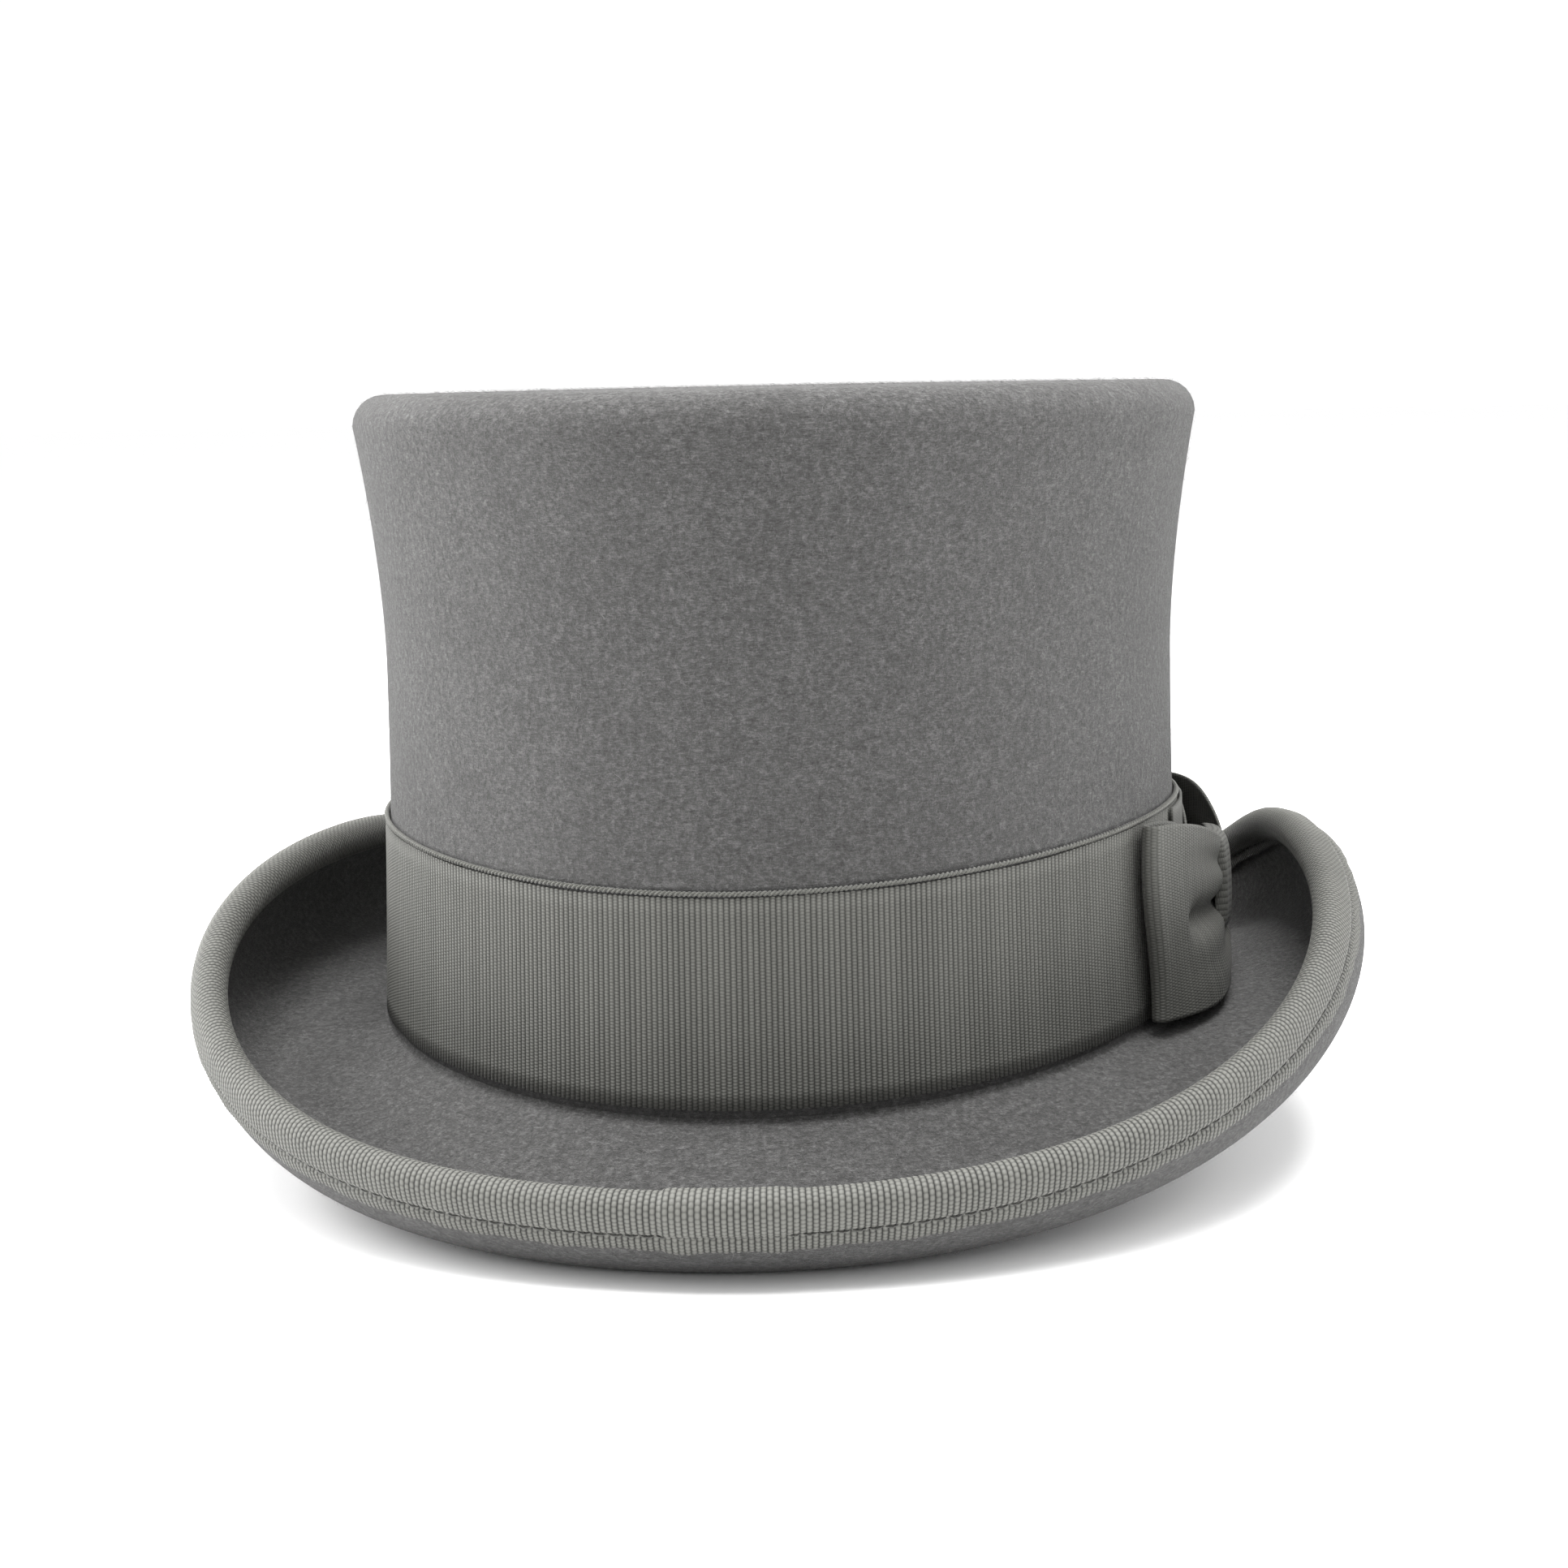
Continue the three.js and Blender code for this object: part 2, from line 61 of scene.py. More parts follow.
# %% The Flow class
class Flow:
    """A value that flows through a node tree. Arithmetic on it adds Math nodes."""

    def __init__(self, tree, socket):
        self.tree = tree
        self.socket = socket

    def sum(self, operation, *values):
        return self.tree.node("ShaderNodeMath", {"operation": operation}, values)["Value"]

    def __add__(self, other): return self.sum("ADD", self, other)
    def __radd__(self, other): return self.sum("ADD", other, self)
    def __sub__(self, other): return self.sum("SUBTRACT", self, other)
    def __rsub__(self, other): return self.sum("SUBTRACT", other, self)
    def __mul__(self, other): return self.sum("MULTIPLY", self, other)
    def __rmul__(self, other): return self.sum("MULTIPLY", other, self)
    def __truediv__(self, other): return self.sum("DIVIDE", self, other)
    def __rtruediv__(self, other): return self.sum("DIVIDE", other, self)
    def __pow__(self, other): return self.sum("POWER", self, other)
    def __neg__(self): return self.sum("MULTIPLY", self, -1.0)


class Node:
    """A placed node. Its outputs are read by name, as flows."""

    def __init__(self, tree, made):
        self.tree = tree
        self.made = made

    def __getitem__(self, name):
        socket = next(s for s in self.made.outputs if s.name == name and s.enabled)
        return Flow(self.tree, socket)


class Tree:
    """A node tree that nodes are added to."""

    def __init__(self, inner):
        self.inner = inner

    def node(self, kind, settings=None, values=(), **named):
        made = self.inner.nodes.new(kind)
        for key, setting in (settings or {}).items():
            if key == "stops":
                ramp = made.color_ramp.elements
                while len(ramp) < len(setting):
                    ramp.new(0.5)
                for element, (place, colour) in zip(ramp, setting):
                    element.position = place
                    element.color = (*colour, 1.0)
            else:
                setattr(made, key, setting)
        usable = [s for s in made.inputs if s.enabled]
        pairs = list(zip(usable, values))
        for name, value in named.items():
            pairs.append((next(s for s in usable if s.name == name.replace("_", " ")), value))
        for socket, value in pairs:
            if isinstance(value, Flow):
                self.inner.links.new(value.socket, socket)
            else:
                socket.default_value = value
        return Node(self, made)


def either(operation, formula):
    """A function that adds a Math node for a flow, and uses the NumPy formula for plain numbers."""
    def work(*values):
        flows = [v for v in values if isinstance(v, Flow)]
        return flows[0].sum(operation, *values) if flows else formula(*values)
    return work


sin = either("SINE", np.sin)
cos = either("COSINE", np.cos)
size_of = either("ABSOLUTE", np.abs)
lesser = either("MINIMUM", np.minimum)
greater = either("MAXIMUM", np.maximum)
whole = either("FLOOR", np.floor)
power = either("POWER", np.power)


def ramp(value, start, end):
    """0 before start, 1 after end, and a straight rise between them."""
    return greater(lesser((value - start) / (end - start), 1.0), 0.0)


def between(first, second, share):
    return first + (second - first) * share


print("arithmetic on flows is ready")

# %% [markdown]
# ## The rule of the hat
# A hatter's block is an oval that grows and shrinks with height. Every ring of this hat is one oval
# of a family: a point with "reach" r lies r from the middle sideways, and r plus a fixed length fore
# and aft. The crown's side, the brim and its curl are then outlines in (reach, height), which change
# a little round the hat. The rule is written once here, in millimetres, and every piece uses it.

# %% The rule in formulas
MM = 0.001
LENGTH_EXTRA = 17.5  # how much farther the oval reaches fore and aft than sideways
CORE_REACH = 60.0  # inside this reach the extra length shrinks to nothing
FELT = 2.8
CROWN_HEIGHT, FOOT_REACH = 130.5, 85.0
WAIST_REACH, WAIST_HEIGHT, TOP_REACH, FLARE = 83.5, 74.0, 90.2, 1.7
BRIM_DIP = 6.2  # how far the crown's foot falls at the front and the back
BRIM_ROOT_IN, BRIM_ROOT_DROP = 1.0, 1.5
BRIM_WIDTH_SIDE, BRIM_WIDTH_LEAN, BRIM_WIDTH_END = 61.2, 1.0, 59.3
BRIM_SLOPE_SIDE, BRIM_SLOPE_END = -18.5, 40.0  # degrees
CURL_RADIUS_SIDE, CURL_RADIUS_END = 12.0, 18.5
CURL_TURN_SIDE, CURL_TURN_LEAN, CURL_TURN_END = 159.0, 7.0, 116.0  # degrees
CURL_BACK_SHIFT = 11.7  # degrees by which each side's highest part lies behind the middle
CURL_SPREAD = 0.22  # how long the end shape holds before it turns into the side shape
REST_FLAT = 0.6  # how much the felt is flattened where the hat rests
QUARTER = math.pi / 2


def radians(degrees):
    return degrees * math.pi / 180


def end_share(angle):
    """0 beside the head, 1 at the front and the back."""
    turned = angle - radians(CURL_BACK_SHIFT) * cos(angle)
    side = sin(turned)
    twice = sin(2.0 * turned)
    return side * side + CURL_SPREAD * twice * twice


def crown_reach(height):
    above = height - WAIST_HEIGHT
    low = lesser(above, 0.0) / WAIST_HEIGHT
    high = greater(above, 0.0) / (CROWN_HEIGHT - WAIST_HEIGHT)
    below_waist = WAIST_REACH + (FOOT_REACH - WAIST_REACH) * low * low
    return below_waist + (TOP_REACH - WAIST_REACH) * power(high, FLARE)


def foot_height(angle):
    return -BRIM_DIP * sin(angle) * sin(angle)


def brim_shape(angle):
    """Width, slope, curl radius and straight part of the brim at an angle round the hat."""
    share = end_share(angle)
    lean = cos(angle)
    width = between(BRIM_WIDTH_SIDE + BRIM_WIDTH_LEAN * lean, BRIM_WIDTH_END, share)
    slope = between(radians(BRIM_SLOPE_SIDE), radians(BRIM_SLOPE_END), share)
    radius = between(CURL_RADIUS_SIDE, CURL_RADIUS_END, share)
    side_turn = radians(CURL_TURN_SIDE) - radians(CURL_TURN_LEAN) * lean
    turn = between(side_turn, radians(CURL_TURN_END), share)
    return width, slope, radius, greater(width - radius * turn, 0.0)


def brim_point(angle, along):
    """Reach, height and heading of the felt's middle line, a distance out along the brim."""
    width, slope, radius, flat = brim_shape(angle)
    straight = lesser(along, flat)
    heading = greater(along - flat, 0.0) / radius - slope
    out = straight * cos(slope)
    reach = FOOT_REACH - BRIM_ROOT_IN + out + radius * (sin(heading) + sin(slope))
    fall = straight * sin(slope)
    height = foot_height(angle) - BRIM_ROOT_DROP - fall + radius * (cos(slope) - cos(heading))
    return reach, height, heading


def on_oval(angle, reach):
    extra = LENGTH_EXTRA * lesser(reach / CORE_REACH, 1.0)
    return reach * cos(angle), (reach + extra) * sin(angle)


def round_length(angle, reach):
    """The way round the oval from beside the head to an angle, in millimetres."""
    return (reach + LENGTH_EXTRA / 2) * angle + LENGTH_EXTRA / 4 * sin(2.0 * angle)


def even_turn(turn, reach):
    """The angle at which a share of the oval's round has passed, so ribs keep one spacing."""
    uneven = LENGTH_EXTRA / 4 / (reach + LENGTH_EXTRA / 2)
    return turn - uneven * sin(2.0 * turn) + uneven * uneven * sin(4.0 * turn)


front_underside = brim_point(np.float64(-QUARTER), np.linspace(0, BRIM_WIDTH_END, 201))
lowest = float(np.min(front_underside[1] - FELT / 2 * np.cos(front_underside[2])))
REST_LEVEL = lowest + REST_FLAT
felt_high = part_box("felt_body")[1]
lining_low, lining_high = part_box("lining_tip")
AXIS = Vector(((lining_low.x + lining_high.x) / 2, 0.0, felt_high.z - CROWN_HEIGHT * MM))
print("the crown's foot is", round(AXIS.z / MM, 2), "mm up; the rule says", round(-REST_LEVEL, 2))

# %% [markdown]
# ## One Geometry Nodes tree that sweeps an outline round the oval
# Felt, binding, band, sweatband and lining are all outlines carried round the same oval. The tree
# starts with a flat grid. Its first direction becomes the way round the hat and its second the way
# along the outline, and Set Position moves every point to where the rule puts it. Merge by Distance
# sews the seam. A piece's own sizes are named inputs of its tree. `grow` sets them, evaluates the
# tree once and keeps the result as a plain mesh.

# %% Building and growing a swept piece
def add_object(name, data):
    """Makes an object from its data and puts it in the scene."""
    made = bpy.data.objects.new(name, data)
    bpy.context.scene.collection.objects.link(made)
    return made


def new_shape_tree(title, sizes):
    inner = bpy.data.node_groups.new(title, "GeometryNodeTree")
    inner.interface.new_socket("Geometry", in_out="OUTPUT", socket_type="NodeSocketGeometry")
    for label in sizes:
        inner.interface.new_socket(label, in_out="INPUT", socket_type="NodeSocketFloat")
    tree = Tree(inner)
    given = tree.node("NodeGroupInput")
    return tree, {label: given[label] for label in sizes}


def place_on_hat(tree, angle, reach, height):
    """The vector position, in metres, of a point given by the rule in millimetres."""
    across, deep = on_oval(angle, reach)
    return tree.node("ShaderNodeCombineXYZ", {}, (
        across * MM + AXIS.x, deep * MM + AXIS.y, height * MM + AXIS.z))["Vector"]


def keep_uv(tree, geometry, along, across):
    """Stores the piece's own cloth coordinates, in centimetres, as its UV map."""
    pair = tree.node("ShaderNodeCombineXYZ", {}, (along * 0.1, across * 0.1, 0.0))["Vector"]
    return tree.node(
        "GeometryNodeStoreNamedAttribute", {"data_type": "FLOAT2", "domain": "CORNER"},
        Geometry=geometry, Name="UVMap", Value=pair)["Geometry"]


def finish_tree(tree, geometry, finish, sew=2e-5):
    """Sews the seam, smooths, realizes and paints the shape, and ends the tree."""
    if sew:
        geometry = tree.node(
            "GeometryNodeMergeByDistance", {}, Geometry=geometry, Distance=sew)["Geometry"]
    geometry = tree.node("GeometryNodeSetShadeSmooth", {}, Geometry=geometry)["Geometry"]
    geometry = tree.node("GeometryNodeRealizeInstances", {}, Geometry=geometry)["Geometry"]
    painted = tree.node("GeometryNodeSetMaterial", {}, Geometry=geometry, Material=finish)["Geometry"]
    tree.node("NodeGroupOutput", {}, (painted,))


def joined(tree, parts):
    """Joins several geometries into one."""
    join = tree.inner.nodes.new("GeometryNodeJoinGeometry")
    for part in parts:
        tree.inner.links.new(part.socket, join.inputs[0])
    return Flow(tree, join.outputs[0])


def swept_grid(tree, place, columns, rows, start=0.0, end=2 * math.pi, even_reach=None):
    """A grid carried round the oval. place(angle, v) gives reach, height and cloth coordinates."""
    grid = tree.node("GeometryNodeMeshGrid", {}, (1.0, 1.0, columns + 1, rows + 1))
    parts = tree.node("ShaderNodeSeparateXYZ", {}, (grid["UV Map"],))
    angle = between(start, end, parts["X"])
    if even_reach:
        angle = even_turn(angle, even_reach)
    reach, height, along, across = place(angle, parts["Y"])
    moved = tree.node(
        "GeometryNodeSetPosition", {}, Geometry=grid["Mesh"],
        Position=place_on_hat(tree, angle, reach, height))["Geometry"]
    return keep_uv(tree, moved, along, across)


def grow(name, tree, sizes):
    """Evaluates the tree once and keeps the result as a plain mesh."""
    holder = add_object(name + "_grower", bpy.data.meshes.new(name + "_grower"))
    modifier = holder.modifiers.new("shape", "NODES")
    modifier.node_group = tree.inner
    for item in tree.inner.interface.items_tree:
        if item.in_out == "INPUT" and item.name in sizes:
            modifier[item.identifier] = float(sizes[item.name])
    seen = holder.evaluated_get(bpy.context.evaluated_depsgraph_get())
    mesh = bpy.data.meshes.new_from_object(seen)
    bpy.data.objects.remove(holder)
    mesh.name = name
    return add_object(name, mesh)


def close_and_turn_out(piece, sew=1e-6):
    """Sews what is left open, closes end holes and points every face outwards."""
    work = bmesh.new()
    work.from_mesh(piece.data)
    bmesh.ops.remove_doubles(work, verts=work.verts, dist=sew)
    open_edges = [edge for edge in work.edges if edge.is_boundary]
    if open_edges:
        bmesh.ops.holes_fill(work, edges=open_edges, sides=0)
    bmesh.ops.recalc_face_normals(work, faces=work.faces)
    work.to_mesh(piece.data)
    still_open = sum(edge.is_boundary for edge in work.edges)
    work.free()
    print(piece.name, "has", len(piece.data.polygons), "faces and", still_open, "open edges")
    return piece


def settle(piece, node_names):
    """The fine piece takes the place of the plain ones."""
    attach(piece, "root")
    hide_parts(*node_names)
    return piece


# %% [markdown]
# ## Wool felt
# Felt has no weave. Its look comes from a short, tangled nap: a crisp grain a millimetre or so wide,
# and fine hairs that mostly lie round the hat, because the hatter brushes it that way. Noise in
# Object coordinates gives both without a seam. Squeezing the height direction makes the hair noise
# long and level. Sheen, set on the shader itself, gives the pale edge that felt shows at its rims.

# %% The felt finish
def new_finish(name, **constants):
    """A material with a Principled shader, and its sockets that are the same all over."""
    material = bpy.data.materials.new(name)
    material.use_nodes = True
    tree = Tree(material.node_tree)
    shader = next(n for n in material.node_tree.nodes if n.type == "BSDF_PRINCIPLED")
    for key, value in constants.items():
        shader.inputs[key.replace("_", " ")].default_value = value
    return material, tree, shader


def noise(tree, where, scale, detail=2.0, rough=0.5, twist=0.0):
    return tree.node(
        "ShaderNodeTexNoise", {"noise_dimensions": "3D"}, Vector=where, Scale=scale, Detail=detail,
        Roughness=rough, Distortion=twist)["Fac"]


def stretched(tree, where, scale):
    settings = {"vector_type": "POINT"}
    return tree.node("ShaderNodeMapping", settings, Vector=where, Scale=scale)["Vector"]


def shaded(tree, shader, colour=None, rough=None, height=None, depth=MM, strength=1.0):
    """Links what changes over the surface into the shader."""
    links = tree.inner.links
    if colour is not None:
        links.new(colour.socket, shader.inputs["Base Color"])
    if rough is not None:
        links.new(rough.socket, shader.inputs["Roughness"])
    if height is not None:
        bump = tree.node("ShaderNodeBump", {}, Height=height, Distance=depth, Strength=strength)
        links.new(bump["Normal"].socket, shader.inputs["Normal"])


def colour_ramp(tree, value, stops):
    return tree.node("ShaderNodeValToRGB", {"stops": stops}, Fac=value)["Color"]


def fibre_finish(name, grain, stops, rough, depth, strength, **constants):
    """A finish whose colour, shine and relief all follow one noise."""
    material, tree, shader = new_finish(name, **constants)
    fibre = noise(tree, tree.node("ShaderNodeTexCoord")["Object"], *grain)
    shaded(tree, shader, colour_ramp(tree, fibre, stops), rough[0] + rough[1] * fibre, fibre,
           depth * MM, strength)
    return material


def cloth_coordinates(tree):
    """The cloth's own place, in centimetres: X runs along it and Y across it."""
    return tree.node("ShaderNodeSeparateXYZ", {}, (tree.node("ShaderNodeUVMap")["UV"],))


def grey(value, warmth=0.0):
    return (value * (1 + warmth), value, value * (1 - warmth))


felt_finish, tree, shader = new_finish(
    "felt", Sheen_Weight=0.10, Sheen_Roughness=0.45, Specular_IOR_Level=0.08)
where = tree.node("ShaderNodeTexCoord")["Object"]
grain = noise(tree, where, 760.0, 4.0, 0.65)
cloud = noise(tree, where, 60.0, 2.0, 0.5)
level_hairs = noise(tree, stretched(tree, where, (1.0, 1.0, 4.2)), 900.0, 4.0, 0.72, 0.8)
stray_hairs = noise(tree, stretched(tree, where, (1.7, 1.7, 1.0)), 1500.0, 3.0, 0.65, 1.5)
tone = grain * 0.27 + cloud * 0.05 + level_hairs * 0.42 + stray_hairs * 0.26
felt_colour = colour_ramp(tree, tone, (
    (0.36, grey(0.030, 0.02)), (0.50, grey(0.066, 0.015)), (0.64, grey(0.150, 0.01))))
shaded(tree, shader, felt_colour, 0.82 + 0.14 * grain,
       level_hairs * 0.5 + stray_hairs * 0.25 + grain * 0.9, 0.9 * MM, 0.8)
print("felt finish:", len(tree.inner.nodes), "nodes")

# %% [markdown]
# ## The felt body
# Crown, tip and brim are one piece of felt, steamed and pulled over a block. We sweep two skins, the
# outside and the inside, half the felt's thickness to each side of one middle line. The crown's part
# of the line has three zones: the flat tip, the corner, and the flared wall. The brim's part has two:
# the bend at the foot, and the brim itself with its curl. A rounded lip joins both skins at the edge.
# No point goes below the level that the hat rests on, so the felt is slightly flat where it stands.

# %% The felt body
TIP_CORNER = 6.5
CORNER_HEIGHT = CROWN_HEIGHT - TIP_CORNER
BEND_RADIUS = 3.0
WALL_REACH = FOOT_REACH - FELT / 2
TIP_END, CORNER_END, BEND_END = 0.12, 0.24, 0.1  # shares of the outline that the zones take
FELT_COLUMNS, FELT_ROWS, LIP_ROWS = 264, 50, 4
felt_sizes = {"Felt thickness": FELT, "Tip corner radius": TIP_CORNER - FELT / 2, "Tip crown": 0.35}


def bend_start(angle):
    """How far along the brim the bend at the foot ends, and the height where it starts."""
    width, slope, radius, flat = brim_shape(angle)
    bend_reach = WALL_REACH + BEND_RADIUS * (1.0 - sin(slope))
    skipped = (bend_reach - (FOOT_REACH - BRIM_ROOT_IN)) / cos(slope)
    reach, height, heading = brim_point(angle, skipped)
    return skipped, height + BEND_RADIUS * cos(slope)


def felt_tree():
    tree, size = new_shape_tree("blocked felt", felt_sizes)
    half = size["Felt thickness"] * 0.5
    corner = size["Tip corner radius"]

    def offset(reach, height, heading, distance):
        level = greater(height + distance * cos(heading), REST_LEVEL)
        return reach - distance * sin(heading), level

    def crown(distance, angle, v):
        tip, turn = ramp(v, 0.0, TIP_END), ramp(v, TIP_END, CORNER_END)
        side = ramp(v, CORNER_END, 1.0)
        corner_reach = crown_reach(CORNER_HEIGHT) - TIP_CORNER
        fall = (CORNER_HEIGHT - bend_start(angle)[1]) * side
        wall = crown_reach(CORNER_HEIGHT - fall) - crown_reach(CORNER_HEIGHT)
        reach = corner_reach * tip + corner * sin(QUARTER * turn) + wall
        hollow = size["Tip crown"] * tip * tip * (1.0 - side)
        height = CORNER_HEIGHT + corner * cos(QUARTER * turn) - fall - hollow
        return (*offset(reach, height, -QUARTER * turn, distance), angle * FOOT_REACH, fall)

    def brim(distance, angle, v):
        width, slope, radius, flat = brim_shape(angle)
        turn, out = ramp(v, 0.0, BEND_END), ramp(v, BEND_END, 1.0)
        skipped, start = bend_start(angle)
        heading = between(-QUARTER, -slope, turn)
        first = brim_point(angle, skipped)
        last = brim_point(angle, between(skipped, width, out))
        reach = WALL_REACH + BEND_RADIUS * (1.0 + sin(heading)) + last[0] - first[0]
        height = start - BEND_RADIUS * cos(heading) + last[1] - first[1]
        bent = heading + last[2] - first[2]
        return (*offset(reach, height, bent, distance), angle * FOOT_REACH, width * out)

    def lip(angle, v):
        width = brim_shape(angle)[0]
        reach, height, heading = brim_point(angle, width)
        facing = heading + QUARTER - 2 * QUARTER * v
        return reach + half * cos(facing), height + half * sin(facing), angle * FOOT_REACH, v

    def skin(shape, distance):
        return swept_grid(tree, lambda a, v: shape(distance, a, v), FELT_COLUMNS, FELT_ROWS)

    skins = [skin(crown, half), skin(crown, half * -1.0), skin(brim, half), skin(brim, half * -1.0),
             swept_grid(tree, lip, FELT_COLUMNS, LIP_ROWS)]
    finish_tree(tree, joined(tree, reversed(skins)), felt_finish, sew=4e-5)
    return tree


felt_body = close_and_turn_out(grow("felt_hat_body", felt_tree(), felt_sizes))
settle(felt_body, ["felt_body"])

# %% [markdown]
# ## Grosgrain ribbon
# Grosgrain is a ribbon with thick weft cords, so it shows straight ribs across its width, a little
# over a millimetre apart, and each rib is beaded where the fine warp threads pass over it. The ribs
# catch the light, so the band and the binding carry real ribs in their mesh. The beads, and the
# small differences between ribs, come from the material, which reads the ribbon's own coordinates: U
# runs along the ribbon and V across it, both in centimetres. The material also paints shade into
# the colour, darker in the grooves, and a painted highlight on the rib and bead tops. The tone that
# changes from rib to rib and the fine fuzz are the ribbon's own.

# %% The ribbon finish
RIB = 1.1  # pitch of the ribs, in millimetres
BAND_REACH, EDGE_REACH = 86.0, 118.0  # where the band and the binding lie
BEAD = 0.62  # pitch of the beads along a rib, in millimetres


def ribbon_finish(name, dark, light, rib_depth, rib_shade_contrast):
    material, tree, shader = new_finish(
        name, Sheen_Weight=0.05, Sheen_Roughness=0.35, Specular_IOR_Level=0.22)
    cloth = cloth_coordinates(tree)
    along, across = cloth["X"] * 10.0 / RIB, cloth["Y"] * 10.0
    rib_number = whole(along)
    rib = size_of(sin(along * math.pi))
    bead = size_of(sin((across / BEAD + rib_number * 0.5) * math.pi))
    round_rib = power(rib, 0.7)
    lot = tree.node("ShaderNodeTexWhiteNoise", {"noise_dimensions": "1D"}, W=rib_number)["Value"]
    where = tree.node("ShaderNodeTexCoord")["Object"]
    fuzz = noise(tree, where, 1500.0, 2.0, 0.6)
    cloud = noise(tree, where, 45.0, 2.0, 0.5)
    # Painted shade and painted highlight: the colour darkens in the grooves and lightens on the rib and
    # bead tops.
    ribbed = (round_rib * (0.45 + 0.40 * bead) - 0.45) * rib_shade_contrast
    tone = 0.42 + ribbed + 0.10 * lot + 0.16 * fuzz + 0.16 * (cloud - 0.5)
    middle = between_colours(dark, light, 0.55)
    colour = colour_ramp(tree, tone, ((0.05, dark), (0.55, middle), (0.95, light)))
    height = round_rib * rib_depth + round_rib * bead * 0.55 + fuzz * 0.12
    shaded(tree, shader, colour, 0.78 - 0.22 * round_rib, height, 0.16 * MM, 0.9)
    return material


def between_colours(first, second, share):
    return tuple(between(a, b, share) for a, b in zip(first, second))


RIBBON_DARK, RIBBON_LIGHT = (0.013, 0.013, 0.0115), (0.112, 0.112, 0.102)
# The last number sets how strongly each ribbon's grooves are painted dark and its rib tops painted light.
band_finish = ribbon_finish("grosgrain_band", RIBBON_DARK, RIBBON_LIGHT, 0.45, 1.0)
binding_finish = ribbon_finish(
    "grosgrain_binding", (0.010, 0.010, 0.009), (0.125, 0.125, 0.114), 0.8, 1.35)
bow_finish = ribbon_finish("grosgrain_bow", RIBBON_DARK, RIBBON_LIGHT, 0.35, 0.35)
print("ribbon finishes:", band_finish.name, binding_finish.name, bow_finish.name)

# %% [markdown]
# ## The hatband
# The band is a ribbon drawn tight round the crown, with its ends meeting under the bow. Its outline
# is a closed loop: up the front face, over the selvedge, down the back and under. Each rib stands
# about a seventh of a millimetre proud, and pushes the selvedges out a little too, which is what
# gives a grosgrain edge its fine scallops.

# %% The hatband
BAND_WIDTH, BAND_LIFT, GAP, RIBBON = 40.0, 1.9, 0.3, 0.8
BAND_RIBS = 541
BAND_SEAM = 0.3  # half of what is left open between the band's ends
band_sizes = {
    "Band width": BAND_WIDTH, "Ribbon thickness": RIBBON, "Rib height": 0.14, "Scallop": 0.14}


def loop_round(v, front, corner):
    """Runs a closed outline. The first value goes across and back, the second is 1 on the front."""
    back = 1.0 - corner
    across = ramp(v, 0.0, front) - ramp(v, front + corner, back)
    face = 1.0 - ramp(v, front, front + corner) + ramp(v, back, 1.0)
    return across, face


def rib_wave(along):
    """0 in a groove and 1 on a rib."""
    return power(size_of(sin(along * (math.pi / RIB))), 0.75)


def band_tree(rib_count, start, end):
    tree, size = new_shape_tree("ribbed band", band_sizes)
    first = round_length(start, BAND_REACH)
    whole_ribs = rib_count * RIB / (round_length(end, BAND_REACH) - first)

    def place(angle, v):
        across, face = loop_round(v, 0.75, 0.0625)
        along = (round_length(angle, BAND_REACH) - float(first)) * float(whole_ribs)
        wave = rib_wave(along)
        edge = (across - 0.5) * 2.0
        low = foot_height(angle) + BAND_LIFT
        soft = 0.10 * sin(along * 0.071) + 0.07 * sin(along * 0.19 + 1.0)
        height = low + size["Band width"] * across + edge * (size["Scallop"] * wave) + soft * across
        proud = size["Rib height"] * (wave - 1.0) * (1.0 - 0.4 * power(size_of(edge), 8.0))
        depth = GAP + face * (size["Ribbon thickness"] + proud)
        return crown_reach(height) + depth, height, along, size["Band width"] * across

    grid = swept_grid(tree, place, rib_count * 4, 16, start, end, BAND_REACH)
    finish_tree(tree, grid, band_finish, sew=1e-5)
    return tree


seam_turn = BAND_SEAM / (FOOT_REACH + LENGTH_EXTRA)
ribbed_band = band_tree(BAND_RIBS, seam_turn, 2 * math.pi - seam_turn)
hatband = grow("hatband_ribbon", ribbed_band, band_sizes)
settle(close_and_turn_out(hatband), ["hatband"])

# %% [markdown]
# ## The twisted cord on the band's top edge
# A fine two-ply cord finishes the band's upper edge. Each ply is a soft strand that winds round the
# other, so a strand is a small circle carried along a helix, and the helix follows the oval. One
# more formula in a swept grid makes it: the way round is the strand's length, the outline is its
# circle, and two strands half a turn apart make the cord.

# %% The cord finish and the cord
cord_finish = fibre_finish(
    "edge_cord", (2600.0, 3.0, 0.6), ((0.25, (0.045, 0.045, 0.040)), (0.75, (0.14, 0.14, 0.126))),
    (0.6, 0.3), 0.1, 0.6, Sheen_Weight=0.25, Specular_IOR_Level=0.2)

CORD_RADIUS, CORD_TURNS = 0.55, 280
cord_sizes = {"Strand radius": 0.30, "Twist radius": 0.26}


def cord_tree(turns):
    tree, size = new_shape_tree("two-ply cord", cord_sizes)

    def ply(start_turn):
        def place(angle, v):
            centre = foot_height(angle) + BAND_LIFT + BAND_WIDTH + GAP + CORD_RADIUS
            twist = angle * float(turns) + start_turn
            facing = v * (2 * math.pi)
            reach = crown_reach(centre) + GAP + CORD_RADIUS + size["Twist radius"] * cos(twist)
            height = centre + size["Twist radius"] * sin(twist)
            strand = size["Strand radius"]
            return reach + strand * cos(facing), height + strand * sin(facing), angle * FOOT_REACH, v
        return swept_grid(tree, place, turns * 8, 6)

    finish_tree(tree, joined(tree, [ply(0.0), ply(math.pi)]), cord_finish, sew=1e-5)
    return tree


edge_cord = grow("hatband_twisted_cord", cord_tree(CORD_TURNS), cord_sizes)
settle(close_and_turn_out(edge_cord), ["hatband_edge_cord"])

